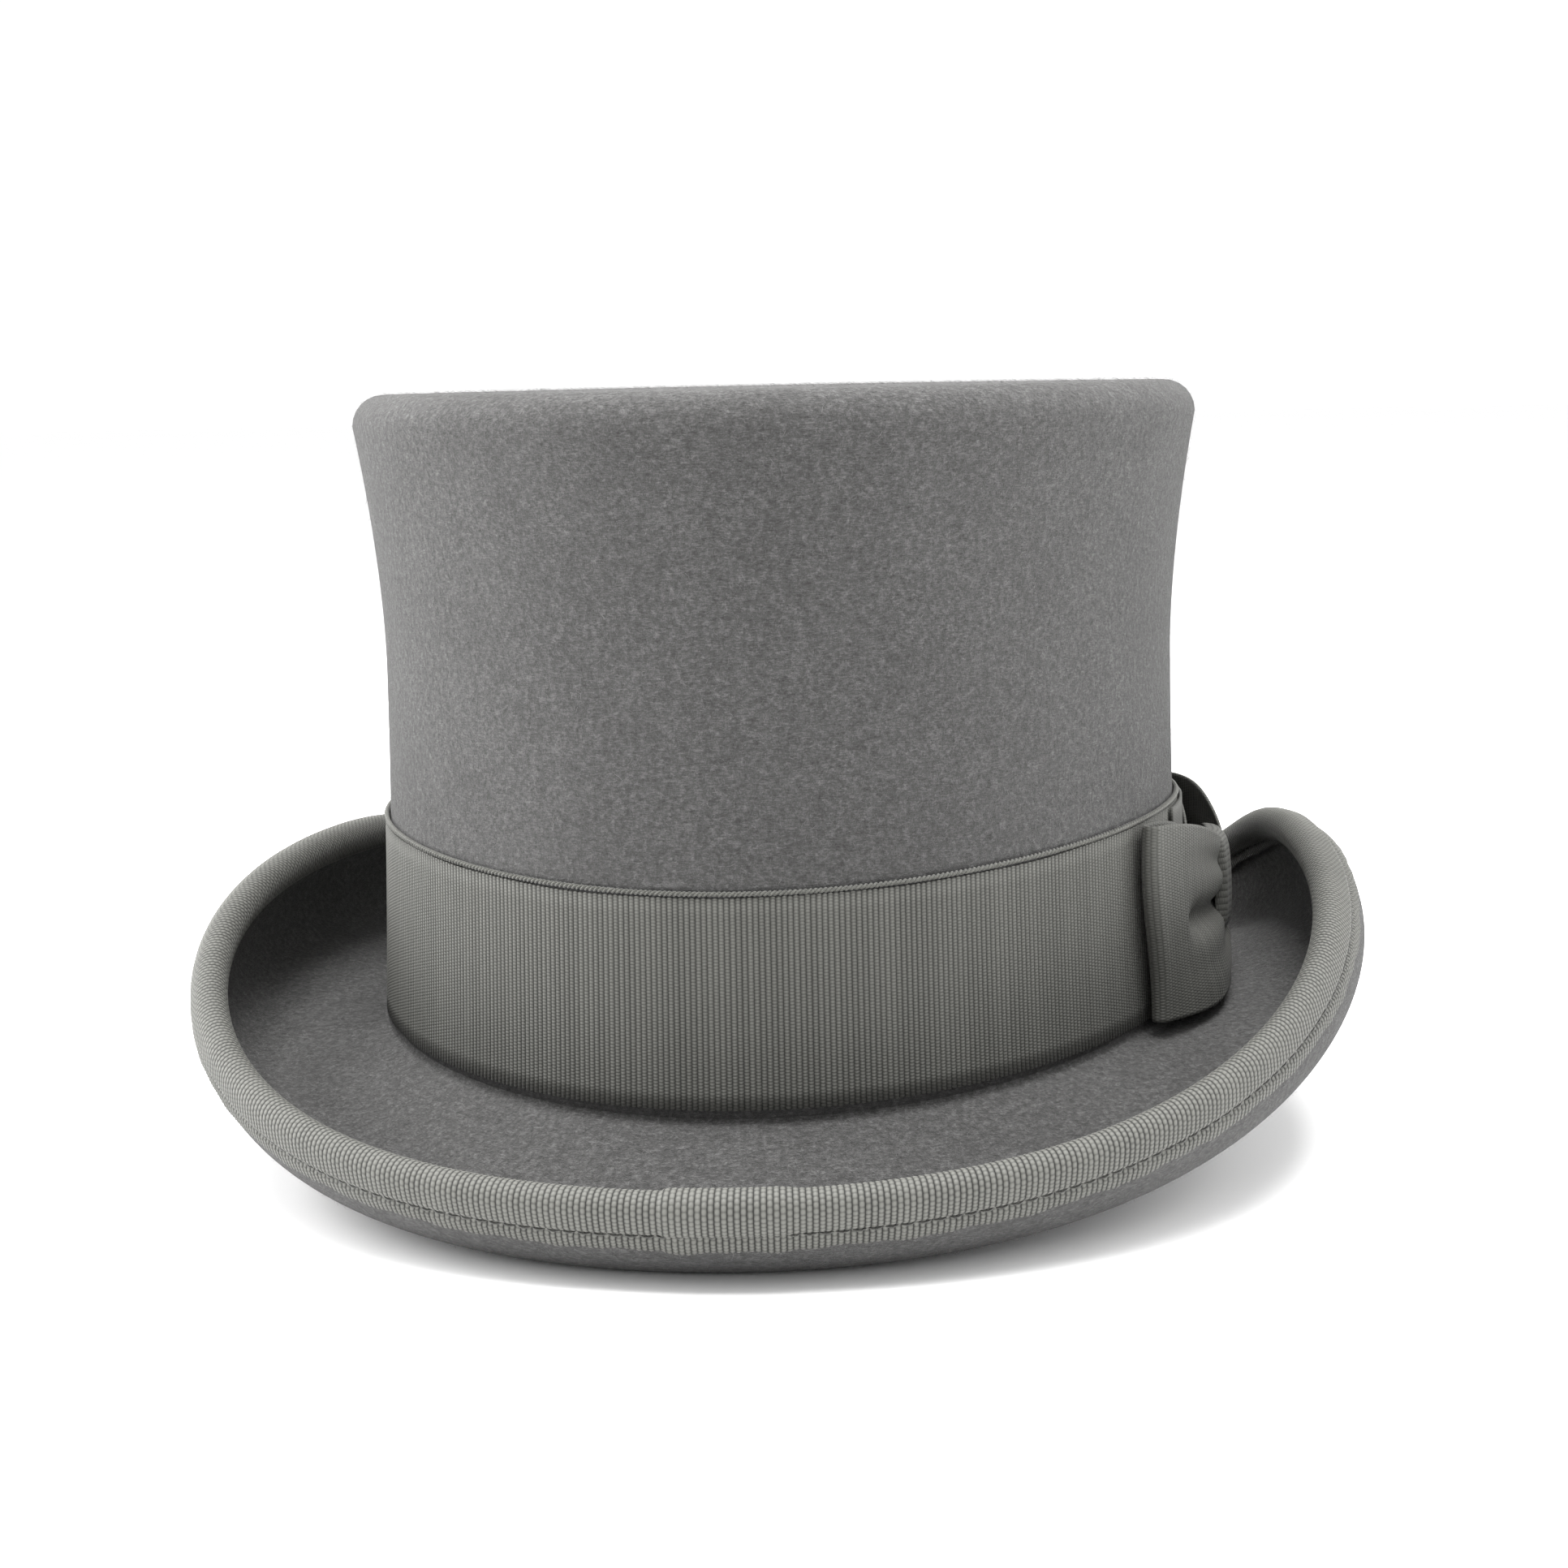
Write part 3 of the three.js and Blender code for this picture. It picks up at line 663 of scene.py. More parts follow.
# %% [markdown]
# ## The bound brim edge
# A narrower grosgrain ribbon is folded lengthways over the brim's edge, so its ribs run across the
# edge like the rungs of a ladder. Its outline runs from one selvedge up the inside of the curl, round
# the edge and down the outside, then back along the ribbon's hidden face. A groove follows the row of
# stitches, and the ribbon lies flatter beyond it. At the front one end laps over the other, with a
# cut edge that stands a little proud.

# %% The binding
BINDING_GAP, BINDING, BINDING_WIDTH, STITCH_INSET = 0.7, 0.9, 7.8, 5.1
binding_sizes = {
    "Binding width": BINDING_WIDTH, "Binding thickness": BINDING, "Rib height": 0.22,
    "Lap height": 0.5}
LAP_START, LAP_END = radians(-91.0), radians(-82.0)
LAP_RISE, LAP_FALL = 0.0012, 0.03  # the turn in which the lap rises and falls: the first is a cut
ROLL_RISE, GROOVE_DEPTH, GROOVE_HALF, LEDGE_DROP = 0.60, 0.85, 0.5, 0.30
BINDING_RIBS = 789
BINDING_ROUND = 2 * math.pi * (EDGE_REACH + LENGTH_EXTRA / 2)


def dip(place, centre, half_width):
    """1 at the centre of a soft groove, falling away smoothly on both sides."""
    off = (place - centre) / half_width
    return 1.0 / (1.0 + off * off * off * off)


def binding_tree():
    tree, size = new_shape_tree("bound edge", binding_sizes)
    flange = size["Binding width"] - FELT / 2

    def place(angle, v):
        across, face = loop_round(v, 0.8, 1.0 / 40)
        along = round_length(angle, EDGE_REACH) * (BINDING_RIBS * RIB / BINDING_ROUND)
        wave = rib_wave(along)
        width = brim_shape(angle)[0]
        ripple = 0.22 * sin(angle * 39.0) + 0.16 * sin(angle * 105.0 + 2.0) + 0.12 * wave
        near, far = 1.0 - ramp(across, 0.0, 1 / 3), ramp(across, 2 / 3, 1.0)
        reach, height, heading = brim_point(angle, width - (flange + ripple) * (near + far))
        facing = heading + QUARTER - 2 * QUARTER * ramp(across, 1 / 3, 2 / 3)
        lap = ramp(angle, LAP_START, LAP_START + LAP_RISE) - ramp(angle, LAP_END, LAP_END + LAP_FALL)
        from_edge = (flange + ripple) * (near + far)
        seam = STITCH_INSET - FELT / 2
        roll = ROLL_RISE * (1.0 - ramp(from_edge, seam - 1.4, seam - 0.4))
        groove = GROOVE_DEPTH * dip(from_edge, seam, GROOVE_HALF)
        ledge = LEDGE_DROP * ramp(from_edge, seam, seam + 0.6)
        proud = size["Rib height"] * (wave - 1.0) + lap * size["Lap height"] + roll - groove - ledge
        clear = FELT / 2 + BINDING_GAP * between(0.35, 1.0, face)
        distance = clear + face * (size["Binding thickness"] + proud)
        reach = reach + distance * cos(facing)
        return reach, height + distance * sin(facing), along, across * 19.0

    start = -math.pi
    grid = swept_grid(tree, place, BINDING_RIBS * 3, 40, start, start + 2 * math.pi, EDGE_REACH)
    finish_tree(tree, grid, binding_finish, sew=1e-5)
    return tree


binding = grow("brim_binding_ribbon", binding_tree(), binding_sizes)
settle(close_and_turn_out(binding), ["brim_binding"])

# %% [markdown]
# ## Rows of stitches
# A lockstitch shows as short thread segments that dive into the cloth at each needle hole. Geometry
# Nodes repeat one small, curved stitch: the rule places a row of points round the hat, and each
# instance is turned to follow the row. The shape is a thin, arched tube of a few dozen faces,
# because it is repeated hundreds of times.

# %% The thread finish and a row of stitches
thread_finish = fibre_finish(
    "sewing_thread", (4000.0, 2.0, 0.5),
    ((0.3, (0.020, 0.020, 0.018)), (0.7, (0.060, 0.060, 0.054))), (0.5, 0.3), 0.05, 0.5,
    Sheen_Weight=0.2, Specular_IOR_Level=0.35)
THREAD = 0.42
STITCH_SIDES, STITCH_RINGS = 6, 7


def aimed(tree, settings, **named):
    """The rotation that points an axis along a vector."""
    return tree.node("FunctionNodeAlignRotationToVector", settings, **named)["Rotation"]


def one_stitch(length, thread, arch):
    """An arched tube along X, with its ends dipped below its middle."""
    sides = STITCH_SIDES
    along, round_ = np.linspace(-1, 1, STITCH_RINGS), np.arange(sides) / sides * 2 * math.pi
    verts, faces = [], []
    for t in along:
        thick = thread / 2 * (0.55 + 0.45 * math.cos(t * QUARTER) ** 0.5 if abs(t) < 1 else 0.55)
        lift = arch * (math.cos(t * QUARTER) - 1)
        verts += [(t * length / 2, thick * math.cos(r), lift + thick * math.sin(r)) for r in round_]
    for ring in range(0, sides * (STITCH_RINGS - 1), sides):
        for j in range(sides):
            beside = (j + 1) % sides
            faces.append((ring + j, ring + beside, ring + sides + beside, ring + sides + j))
    last = sides * (STITCH_RINGS - 1)
    faces += [tuple(range(sides - 1, -1, -1)), tuple(range(last, last + sides))]
    mesh = bpy.data.meshes.new("stitch")
    mesh.from_pydata([(x * MM, y * MM, z * MM) for x, y, z in verts], [], faces)
    mesh.update()
    return bpy.data.objects.new("stitch", mesh)


def stitch_row(name, count, place, arch, share=0.8):
    """count stitches round the hat. place(angle) gives reach, height and how the cloth faces."""
    sizes = {"Stitches": count}
    tree, size = new_shape_tree(name, sizes)
    points = tree.node("GeometryNodePoints", {}, Count=count)["Points"]
    index = tree.node("GeometryNodeInputIndex")["Index"]
    angle = index * (2 * math.pi) / size["Stitches"] + 0.004

    def at(turn):
        reach, height, facing = place(turn)
        return place_on_hat(tree, turn, reach, height), facing

    here, facing = at(angle)
    ahead = at(angle + 0.01)[0]
    along = tree.node("ShaderNodeVectorMath", {"operation": "SUBTRACT"}, (ahead, here))["Vector"]
    out = tree.node("ShaderNodeCombineXYZ", {}, (
        cos(facing) * cos(angle), cos(facing) * sin(angle), sin(facing)))["Vector"]
    first = aimed(tree, {"axis": "X"}, Vector=along)
    turned = aimed(tree, {"axis": "Z", "pivot_axis": "X"}, Rotation=first, Vector=out)
    placed = tree.node("GeometryNodeSetPosition", {}, Geometry=points, Position=here)["Geometry"]
    mould = one_stitch(ring_length(place) / count * share, THREAD, arch)
    shape = tree.node("GeometryNodeObjectInfo", {}, Object=mould)["Geometry"]
    rows = tree.node(
        "GeometryNodeInstanceOnPoints", {}, Points=placed, Instance=shape,
        Rotation=turned)["Instances"]
    real = tree.node("GeometryNodeRealizeInstances", {}, Geometry=rows)["Geometry"]
    finish_tree(tree, real, thread_finish, sew=0)
    piece = grow(name, tree, sizes)
    bpy.data.objects.remove(mould)
    print(name, "has", count, "stitches,", len(piece.data.polygons), "faces")
    return piece


def ring_length(place):
    turns = np.linspace(0, 2 * math.pi, 721)
    reach, height, facing = place(turns)
    x, y = on_oval(turns, reach)
    rise = np.diff(height + 0 * turns)
    return float(np.sum(np.sqrt(np.diff(x) ** 2 + np.diff(y) ** 2 + rise ** 2)))


def beside_binding(side):
    def place(angle):
        width = brim_shape(angle)[0]
        reach, height, heading = brim_point(angle, width + FELT / 2 - STITCH_INSET)
        out = FELT / 2 + BINDING_GAP + BINDING - 0.45
        height = height + side * out * cos(heading)
        return reach - side * out * sin(heading), height, heading + side * QUARTER
    return place


for piece_name, node_name, side in (
        ("binding_stitches_outer", "binding_thread_outer", -1.0),
        ("binding_stitches_inner", "binding_thread_inner", 1.0)):
    settle(stitch_row(piece_name, 288, beside_binding(side), 0.42), [node_name])

# %% [markdown]
# ## The bow
# The bow is ribbon folded flat: each loop leaves the middle, runs along the band, turns back on
# itself in a tight fold and returns, gathered under the centre wrap. We follow that path. Every point
# of the ribbon has a distance along it and a place across it. The path gives how far it stands off
# the crown, and a pinch near the middle draws the edges together and raises soft pleats. A pocket is
# pressed into the front beside the knot. Weld joins points that coincide, and Solidify then gives
# the cloth its thickness.

# %% Folding the loops
BOW_REACH, BOW_BACK = 45.0, 2.5
LOOP_START, FOLD_RADIUS = 1.5, 1.7
LOOP_ROWS, LOOP_COLUMNS = 170, 60
PINCH_POWER, PINCH_TOP, PINCH_FOOT = 1.8, 11.0, 9.0  # how the edges draw in towards the knot
POCKET_DEPTH, POCKET_END, POCKET_FADE = 3.3, 0.74, 0.16
POCKET_MIDDLE, POCKET_HALF = -0.04, 0.17
TOP_PUFF, FOOT_PUFF, KNOT_RISE, BACK_LIFT = 0.6, 3.2, 4.2, 3.8
FLARE_POWER, TIP_SWAY = 1.6, 1.5
SIDE_REACH = FOOT_REACH + LENGTH_EXTRA


def cloth_object(name, points, uv, finish, thickness):
    """A grid of points, as a sheet with cloth coordinates and an even thickness."""
    rows, columns = points.shape[:2]
    mesh = bpy.data.meshes.new(name)
    faces = [(i * columns + j, (i + 1) * columns + j, (i + 1) * columns + j + 1, i * columns + j + 1)
             for i in range(rows - 1) for j in range(columns - 1)]
    mesh.from_pydata([tuple(p) for p in points.reshape(-1, 3)], [], faces)
    layer = mesh.uv_layers.new(name="UVMap")
    flat = uv.reshape(-1, 2)
    corners = np.concatenate([flat[v] for f in faces for v in f])
    layer.data.foreach_set("uv", corners.astype(np.float32))
    mesh.polygons.foreach_set("use_smooth", [True] * len(faces))
    mesh.materials.append(finish)
    made = add_object(name, mesh)
    made.modifiers.new("sewn", "WELD").merge_threshold = 1e-6
    thick = made.modifiers.new("thickness", "SOLIDIFY")
    thick.thickness, thick.offset = thickness * MM, 0.0
    seen = made.evaluated_get(bpy.context.evaluated_depsgraph_get())
    solid = bpy.data.meshes.new_from_object(seen)
    made.modifiers.clear()
    made.data = solid
    solid.name = name
    print(name, "has", len(solid.polygons), "faces")
    return made


def beside_crown(along, height, proud):
    """A point beside the crown: along the band from the knot, up, and out from the crown's side."""
    angle = along / SIDE_REACH
    reach = crown_reach(height) + proud
    x, y = on_oval(angle, reach)
    return np.stack([x * MM + AXIS.x, y * MM + AXIS.y, height * MM + AXIS.z], -1)


def folded_loop(name, sign):
    inner, fold = LOOP_START, FOLD_RADIUS
    path = np.linspace(0, 1, LOOP_ROWS)
    across = np.linspace(-1, 1, LOOP_COLUMNS)
    t, w = np.meshgrid(path, across, indexing="ij")
    straight = BOW_REACH - fold - inner
    length = 2 * straight + math.pi * fold
    run = t * length
    turn = np.clip((run - straight) / (math.pi * fold), 0, 1) * math.pi
    out = np.clip(run, 0, straight) - np.clip(run - straight - math.pi * fold, 0, straight)
    along = inner + out + fold * np.sin(turn)
    share = np.clip(along / BOW_REACH, 0, 1)
    front = turn / math.pi
    near_knot = np.clip(1 - share, 0, 1)
    pinch = near_knot ** PINCH_POWER
    inside = np.clip((POCKET_END - share) / POCKET_FADE, 0, 1)
    pocket = POCKET_DEPTH * inside * np.exp(-((w - POCKET_MIDDLE) / POCKET_HALF) ** 2)
    flare = ((1 - w) / 2) ** FLARE_POWER
    belly = (TOP_PUFF + FOOT_PUFF * flare) * np.sin(math.pi * share) ** 1.1
    puff = belly + KNOT_RISE * near_knot ** 1.4
    under = (1 - front) * BACK_LIFT * flare * np.sin(math.pi * share)
    pleats = pinch * (0.8 * np.cos(w * math.pi * 2.0 + sign * 0.6) + 0.35 * np.cos(w * math.pi * 5.0))
    sag = 0.35 * np.sin(along * 0.17 + w * 2.3)
    lift = front * (puff + pleats * 0.8 + sag * (1 - pinch) - pocket)
    proud = BOW_BACK + 0.35 + fold * (1 - np.cos(turn)) + under + lift
    low = BAND_LIFT + 0.4 + PINCH_FOOT * near_knot ** 3
    high = BAND_LIFT + BAND_WIDTH + 0.5 - PINCH_TOP * pinch
    skew = 0.5 * front * np.sin(along * 0.07) * sign
    sway = TIP_SWAY * share ** 4 * np.sin(w * 2.6 + 0.4)
    height = (low + high) / 2 + (high - low) / 2 * w + skew + foot_height(along / SIDE_REACH)
    points = beside_crown(sign * (along + sway), height, proud)
    uv = np.stack([run / 10, (w + 1) * BAND_WIDTH / 20], -1)
    return cloth_object(name, points, uv, bow_finish, 0.55)


for piece_name, node_name, sign in (
        ("bow_loop_front", "bow_front_loop", -1.0), ("bow_loop_rear", "bow_rear_loop", 1.0)):
    settle(close_and_turn_out(folded_loop(piece_name, sign)), [node_name])

# %% [markdown]
# ## The bow's centre wrap and backing
# The wrap is a short ribbon drawn over the middle from top to bottom, so its ribs run level. It
# bulges over the gathers, carries soft pleats and tucks in above and below. The backing is a flat
# length of the same ribbon, which hides where the band's ends meet.

# %% The wrap and the backing
WRAP_MIDDLE, WRAP_HALF_HEIGHT, WRAP_HALF_WIDTH, WRAP_BULGE = 21.8, 10.6, 8.0, 4.0
BACKING_HALF, BACKING_OUT = 20, 1.4 + 0.4


def centre_wrap():
    rows, columns = 90, 48
    t, w = np.meshgrid(np.linspace(-1, 1, rows), np.linspace(-1, 1, columns), indexing="ij")
    middle, half_height, half_width = BAND_LIFT + WRAP_MIDDLE, WRAP_HALF_HEIGHT, WRAP_HALF_WIDTH
    tuck = np.abs(t) ** 5
    height = middle + half_height * np.sin(t * QUARTER * 1.08)
    bulge = WRAP_BULGE * np.sqrt(np.clip(1 - 0.9 * w ** 2, 0, 1)) * (1 - 0.35 * t ** 2)
    pleat = 0.18 * np.cos(w * math.pi * 3.0) * (1 - 0.3 * t ** 2)
    proud = BOW_BACK + 5.2 + (bulge + pleat) * (1 - 0.55 * tuck) - 2.0 * tuck
    waist = half_width * (1.0 - 0.16 * np.cos(t * QUARTER) ** 2)
    along = waist * np.sin(w * QUARTER * 0.98)
    points = beside_crown(along, height, proud)
    uv = np.stack([(t + 1) * half_height * 1.25 / 10, (w + 1) * half_width * 1.2 / 10], -1)
    return cloth_object("bow_centre_wrap", points, uv, bow_finish, 0.6)


def flat_backing():
    rows, columns = 60, 24
    along = np.linspace(-BACKING_HALF, BACKING_HALF, rows)
    a, w = np.meshgrid(along, np.linspace(0, 1, columns), indexing="ij")
    height = BAND_LIFT - 0.1 + BAND_WIDTH * w + foot_height(a / SIDE_REACH)
    points = beside_crown(a, height, BACKING_OUT + 0 * a)
    uv = np.stack([a / 10, w * BAND_WIDTH / 10], -1)
    return cloth_object("bow_flat_backing", points, uv, bow_finish, 0.6)


settle(close_and_turn_out(centre_wrap()), ["bow_knot"])
settle(close_and_turn_out(flat_backing()), ["bow_backing"])

# %% [markdown]
# ## Inside the hat: leather, reed and tape
# The sweatband is thin sheepskin that folds in against the head. A plastic reed in a cloth tape keeps
# its lower edge round, and a row of stitches joins it to the felt. Leather gets a fine pebble from
# Voronoi cells, and soft patches of noise vary its colour and its shine.

# %% Finishes for the inside
leather_finish, tree, shader = new_finish("sweatband_leather", Specular_IOR_Level=0.4)
where = tree.node("ShaderNodeTexCoord")["Object"]
pebble = tree.node("ShaderNodeTexVoronoi", {"feature": "F1"}, Vector=where, Scale=1100.0)["Distance"]
patch = noise(tree, where, 40.0, 4.0, 0.6)
tone = patch * 0.7 + pebble * 0.35
shaded(tree, shader, colour_ramp(tree, tone, (
    (0.25, (0.030, 0.017, 0.010)), (0.55, (0.080, 0.045, 0.025)), (0.85, (0.135, 0.080, 0.046)))),
    0.38 + 0.3 * patch, 1.0 - pebble, 0.12 * MM, 0.5)

satin_finish, tree, shader = new_finish(
    "satin_lining", Specular_IOR_Level=0.6, Sheen_Weight=0.3, Sheen_Roughness=0.3)
cloth = cloth_coordinates(tree)
thread_u, thread_v = cloth["X"] * 10.0, cloth["Y"] * 10.0
floats = size_of(sin((thread_u * 2.4 + whole(thread_v * 2.4) * 0.4) * math.pi))
where = tree.node("ShaderNodeTexCoord")["Object"]
soft = noise(tree, where, 60.0, 3.0, 0.5)
shaded(tree, shader, colour_ramp(tree, soft * 0.7 + floats * 0.25, (
    (0.2, (0.085, 0.085, 0.09)), (0.8, (0.23, 0.23, 0.245)))), 0.30 + 0.12 * floats, floats, 0.03 * MM, 0.4)

tape_finish, tree, shader = new_finish("reed_tape_cloth", Sheen_Weight=0.1, Specular_IOR_Level=0.2)
cloth = cloth_coordinates(tree)
weave = size_of(sin(cloth["X"] * 60.0)) * 0.5 + size_of(sin(cloth["Y"] * 60.0)) * 0.5
shaded(tree, shader, colour_ramp(tree, weave, (
    (0.2, (0.11, 0.11, 0.09)), (0.9, (0.30, 0.30, 0.26)))), 0.7 + 0.2 * weave, weave, 0.08 * MM, 0.7)

reed_finish = fibre_finish(
    "reed_plastic", (300.0, 3.0, 0.5), ((0.3, (0.48, 0.44, 0.36)), (0.7, (0.66, 0.62, 0.53))),
    (0.35, 0.2), 0.02, 0.4, Specular_IOR_Level=0.5, Subsurface_Weight=0.1)
print("leather, satin, tape and reed finishes are ready")

# %% [markdown]
# ## Sweeping the inner bands
# These are simple outlines again, so one helper sweeps them all. The sweatband's top edge is thicker,
# as if turned over, and a little wavy, because leather eases as it is sewn. The reed and its tape
# follow the band's lower edge.

# %% Sweatband, tab, reed and tape
INNER_WALL = FELT + GAP
INNER_GAP = 0.8  # between the inner wall and the sweatband
REED_RADIUS = 0.9
BAND_FOOT = 3.2  # the sweatband's lower edge over the crown's foot
TAB_HALF = 7.0
INNER_ROUND, REED_ROUND = 92.0, 80.0  # millimetres of cloth to a radian, for its own coordinates


def strip_round(v):
    """The outline of a thin strip: up one face and down the other."""
    return loop_round(v, 0.45, 0.05)


def inner_wall(name, node_name, finish, sizes, place, columns, rows, start, end):
    tree, size = new_shape_tree(name, sizes)
    grid = swept_grid(tree, lambda a, v: place(size, a, v), columns, rows, start, end)
    finish_tree(tree, grid, finish, sew=1e-5)
    return settle(close_and_turn_out(grow(name, tree, sizes)), [node_name])


def sweatband_place(size, angle, v):
    across, face = strip_round(v)
    low = foot_height(angle) + BAND_FOOT
    height = low + size["Height"] * across
    along = angle * INNER_ROUND
    ease = 0.35 * across * sin(along * 0.13) + 0.18 * across * sin(along * 0.37 + 1.0)
    roll = 0.35 * ramp(across, 0.93, 1.0) * face
    inward = INNER_WALL + INNER_GAP + face * (size["Thickness"] + roll) + ease * 0.8 + 0.3 * across
    return crown_reach(height) - inward, height, along, size["Height"] * across


half_gap = BAND_SEAM / FOOT_REACH
inner_wall("sweatband_leather_band", "sweatband", leather_finish,
           {"Height": 42.0, "Thickness": 1.0}, sweatband_place, 360, 40,
           QUARTER + half_gap, QUARTER + 2 * math.pi - half_gap)


def tab_place(size, angle, v):
    across, face = strip_round(v)
    height = foot_height(angle) + 4.2 + size["Height"] * across
    inward = INNER_WALL + 2.55 + face * size["Thickness"] + 0.3 * across
    return crown_reach(height) - inward, height, angle * INNER_ROUND, size["Height"] * across


tab_turn = TAB_HALF / FOOT_REACH
inner_wall("sweatband_back_join_tab", "sweatband_back_tab", leather_finish,
           {"Height": 38.0, "Thickness": 0.9}, tab_place, 24, 40,
           QUARTER - tab_turn, QUARTER + tab_turn)


def round_cord(centre_reach, centre_height, radius_name):
    def place(size, angle, v):
        facing = v * (2 * math.pi)
        height = foot_height(angle) + centre_height + size[radius_name] * sin(facing)
        reach = centre_reach + size[radius_name] * cos(facing)
        return reach, height, angle * REED_ROUND, v * 5.0
    return place


REED_REACH = FOOT_REACH - INNER_WALL - INNER_GAP - REED_RADIUS
REED_HEIGHT = BAND_FOOT - 0.3 - 0.5 - 0.3 - REED_RADIUS
inner_wall("sweatband_round_reed", "sweatband_reed", reed_finish,
           {"Reed radius": REED_RADIUS},
           round_cord(REED_REACH, REED_HEIGHT, "Reed radius"), 256, 12, 0.0, 2 * math.pi)


def tape_place(size, angle, v):
    across, face = strip_round(v)
    facing = radians(200.0) - radians(300.0) * across
    distance = 1.2 + face * size["Thickness"]
    height = foot_height(angle) + REED_HEIGHT + distance * sin(facing)
    return REED_REACH + distance * cos(facing), height, angle * REED_ROUND, across * 8.0


inner_wall("sweatband_folded_tape", "sweatband_reed_tape", tape_finish, {"Thickness": 0.5},
           tape_place, 300, 20, 0.0, 2 * math.pi)


def beside_reed(angle):
    return REED_REACH - 1.72 + 0.0 * angle, foot_height(angle) + REED_HEIGHT, 0.0 * angle + math.pi


settle(stitch_row("sweatband_stitches", 200, beside_reed, 0.2, 0.72), ["sweatband_thread"])

# %% [markdown]
# ## The satin lining
# A strip of satin goes round inside the crown, and an oval of the same cloth closes it at the tip.
# The strip hangs in shallow upright folds, which fade out where the sweatband holds it.

# %% The lining
LINING_FOOT, LINING_TOP = 10.0, CROWN_HEIGHT - FELT - GAP - 5.0
TIP_LINING_HEIGHT = CROWN_HEIGHT - FELT - GAP - 0.25


def lining_place(size, angle, v):
    across, face = strip_round(v)
    low = foot_height(angle) + LINING_FOOT
    height = between(low, LINING_TOP, across)
    loose = ramp(across, 0.30, 0.6) * (1.0 - 0.55 * ramp(across, 0.85, 1.0))
    folds = sin(angle * 34.0 + 1.3 * sin(angle * 5.0)) * sin(angle * 13.0 + 2.0)
    fold = loose * size["Fold depth"] * (1.0 + folds)
    inward = INNER_WALL + 0.05 + face * size["Thickness"] + fold
    return crown_reach(height) - inward, height, angle * 90.0, (LINING_TOP - low) * across


side_lining = inner_wall("lining_satin_side", "lining_side", satin_finish,
                         {"Thickness": 0.4, "Fold depth": 0.7}, lining_place, 480, 60, 0.0, 2 * math.pi)
tip_half = float(crown_reach(np.float64(TIP_LINING_HEIGHT))) - INNER_WALL - 3.9


def tip_lining():
    """The oval of satin inside the tip, slightly slack in the middle."""
    angles, rings = np.linspace(0, 2 * math.pi, 145), np.linspace(0.0, 1.0, 40)
    r, a = np.meshgrid(rings, angles, indexing="ij")
    x, y = on_oval(a, tip_half * r)
    slack = 0.45 * (1 - r ** 2) * (1 + 0.3 * np.sin(5 * a) * r)
    z = (TIP_LINING_HEIGHT - slack) * MM + AXIS.z
    points = np.stack([x * MM + AXIS.x, y * MM + AXIS.y, z], -1)
    return cloth_object("lining_satin_tip", points, np.stack([x, y], -1) / 10, satin_finish, 0.4)


tip = tip_lining()
settle(close_and_turn_out(tip), ["lining_tip"])

# %% [markdown]
# ## The lining strip's flat size
# The strip is as long as the oval inside the felt and as wide as the space it covers. The tip piece is
# cut as an oval.

# %% The strip's flat size
def oval_round(reach):
    """The length of the oval at a reach, in metres."""
    return ring_length(lambda turns: (reach + 0 * turns, 0 * turns, turns)) * MM


lining_reach = WAIST_REACH + 1.0 - INNER_WALL
lining_drop = (LINING_TOP - LINING_FOOT + BRIM_DIP / 2) * MM
strip_size = (oval_round(lining_reach), lining_drop)

# %% [markdown]
# ## The nap of the felt
# From close by, felt is never smooth: loose hairs lift from it and catch the light along its
# outline. Geometry Nodes scatter points over the felt with a fixed seed and set one tiny bent hair on
# each, lying almost flat and turned at random. A hair is a strip of two faces, so tens of thousands
# of them stay light. None grows near the ground, where it would pierce what the hat stands on.

# %% The nap
nap_finish, tree, shader = new_finish("felt_nap_hair", Sheen_Weight=0.08, Specular_IOR_Level=0.08)
where = tree.node("ShaderNodeTexCoord")["Object"]
hair_tone = noise(tree, where, 350.0, 2.0, 0.5)
hair_colours = ((0.35, grey(0.08, 0.01)), (0.65, grey(0.22, 0.01)))
shaded(tree, shader, colour_ramp(tree, hair_tone, hair_colours), 0.7 + 0.2 * hair_tone)
HAIR_FACES = 2
PLACING_SEED, TURNING_SEED, LENGTH_SEED = 7, 3, 5


def one_hair():
    """A narrow strip along X that lifts at its far end."""
    steps = np.linspace(0, 1, HAIR_FACES + 1)
    verts, faces = [], []
    for t in steps:
        half = 0.016 * (1 - 0.7 * t)
        bend = 0.18 * math.sin(t * 2.4)
        verts += [(t, bend - half, 0.30 * t ** 2), (t, bend + half, 0.30 * t ** 2 + 0.010)]
    faces = [(i * 2, i * 2 + 2, i * 2 + 3, i * 2 + 1) for i in range(HAIR_FACES)]
    mesh = bpy.data.meshes.new("hair")
    mesh.from_pydata([(x * MM, y * MM, z * MM) for x, y, z in verts], [], faces)
    return bpy.data.objects.new("hair", mesh)


def chance(tree, low, high, seed):
    """A random number for each point."""
    return tree.node(
        "FunctionNodeRandomValue", {"data_type": "FLOAT"}, Min=low, Max=high, Seed=seed)["Value"]


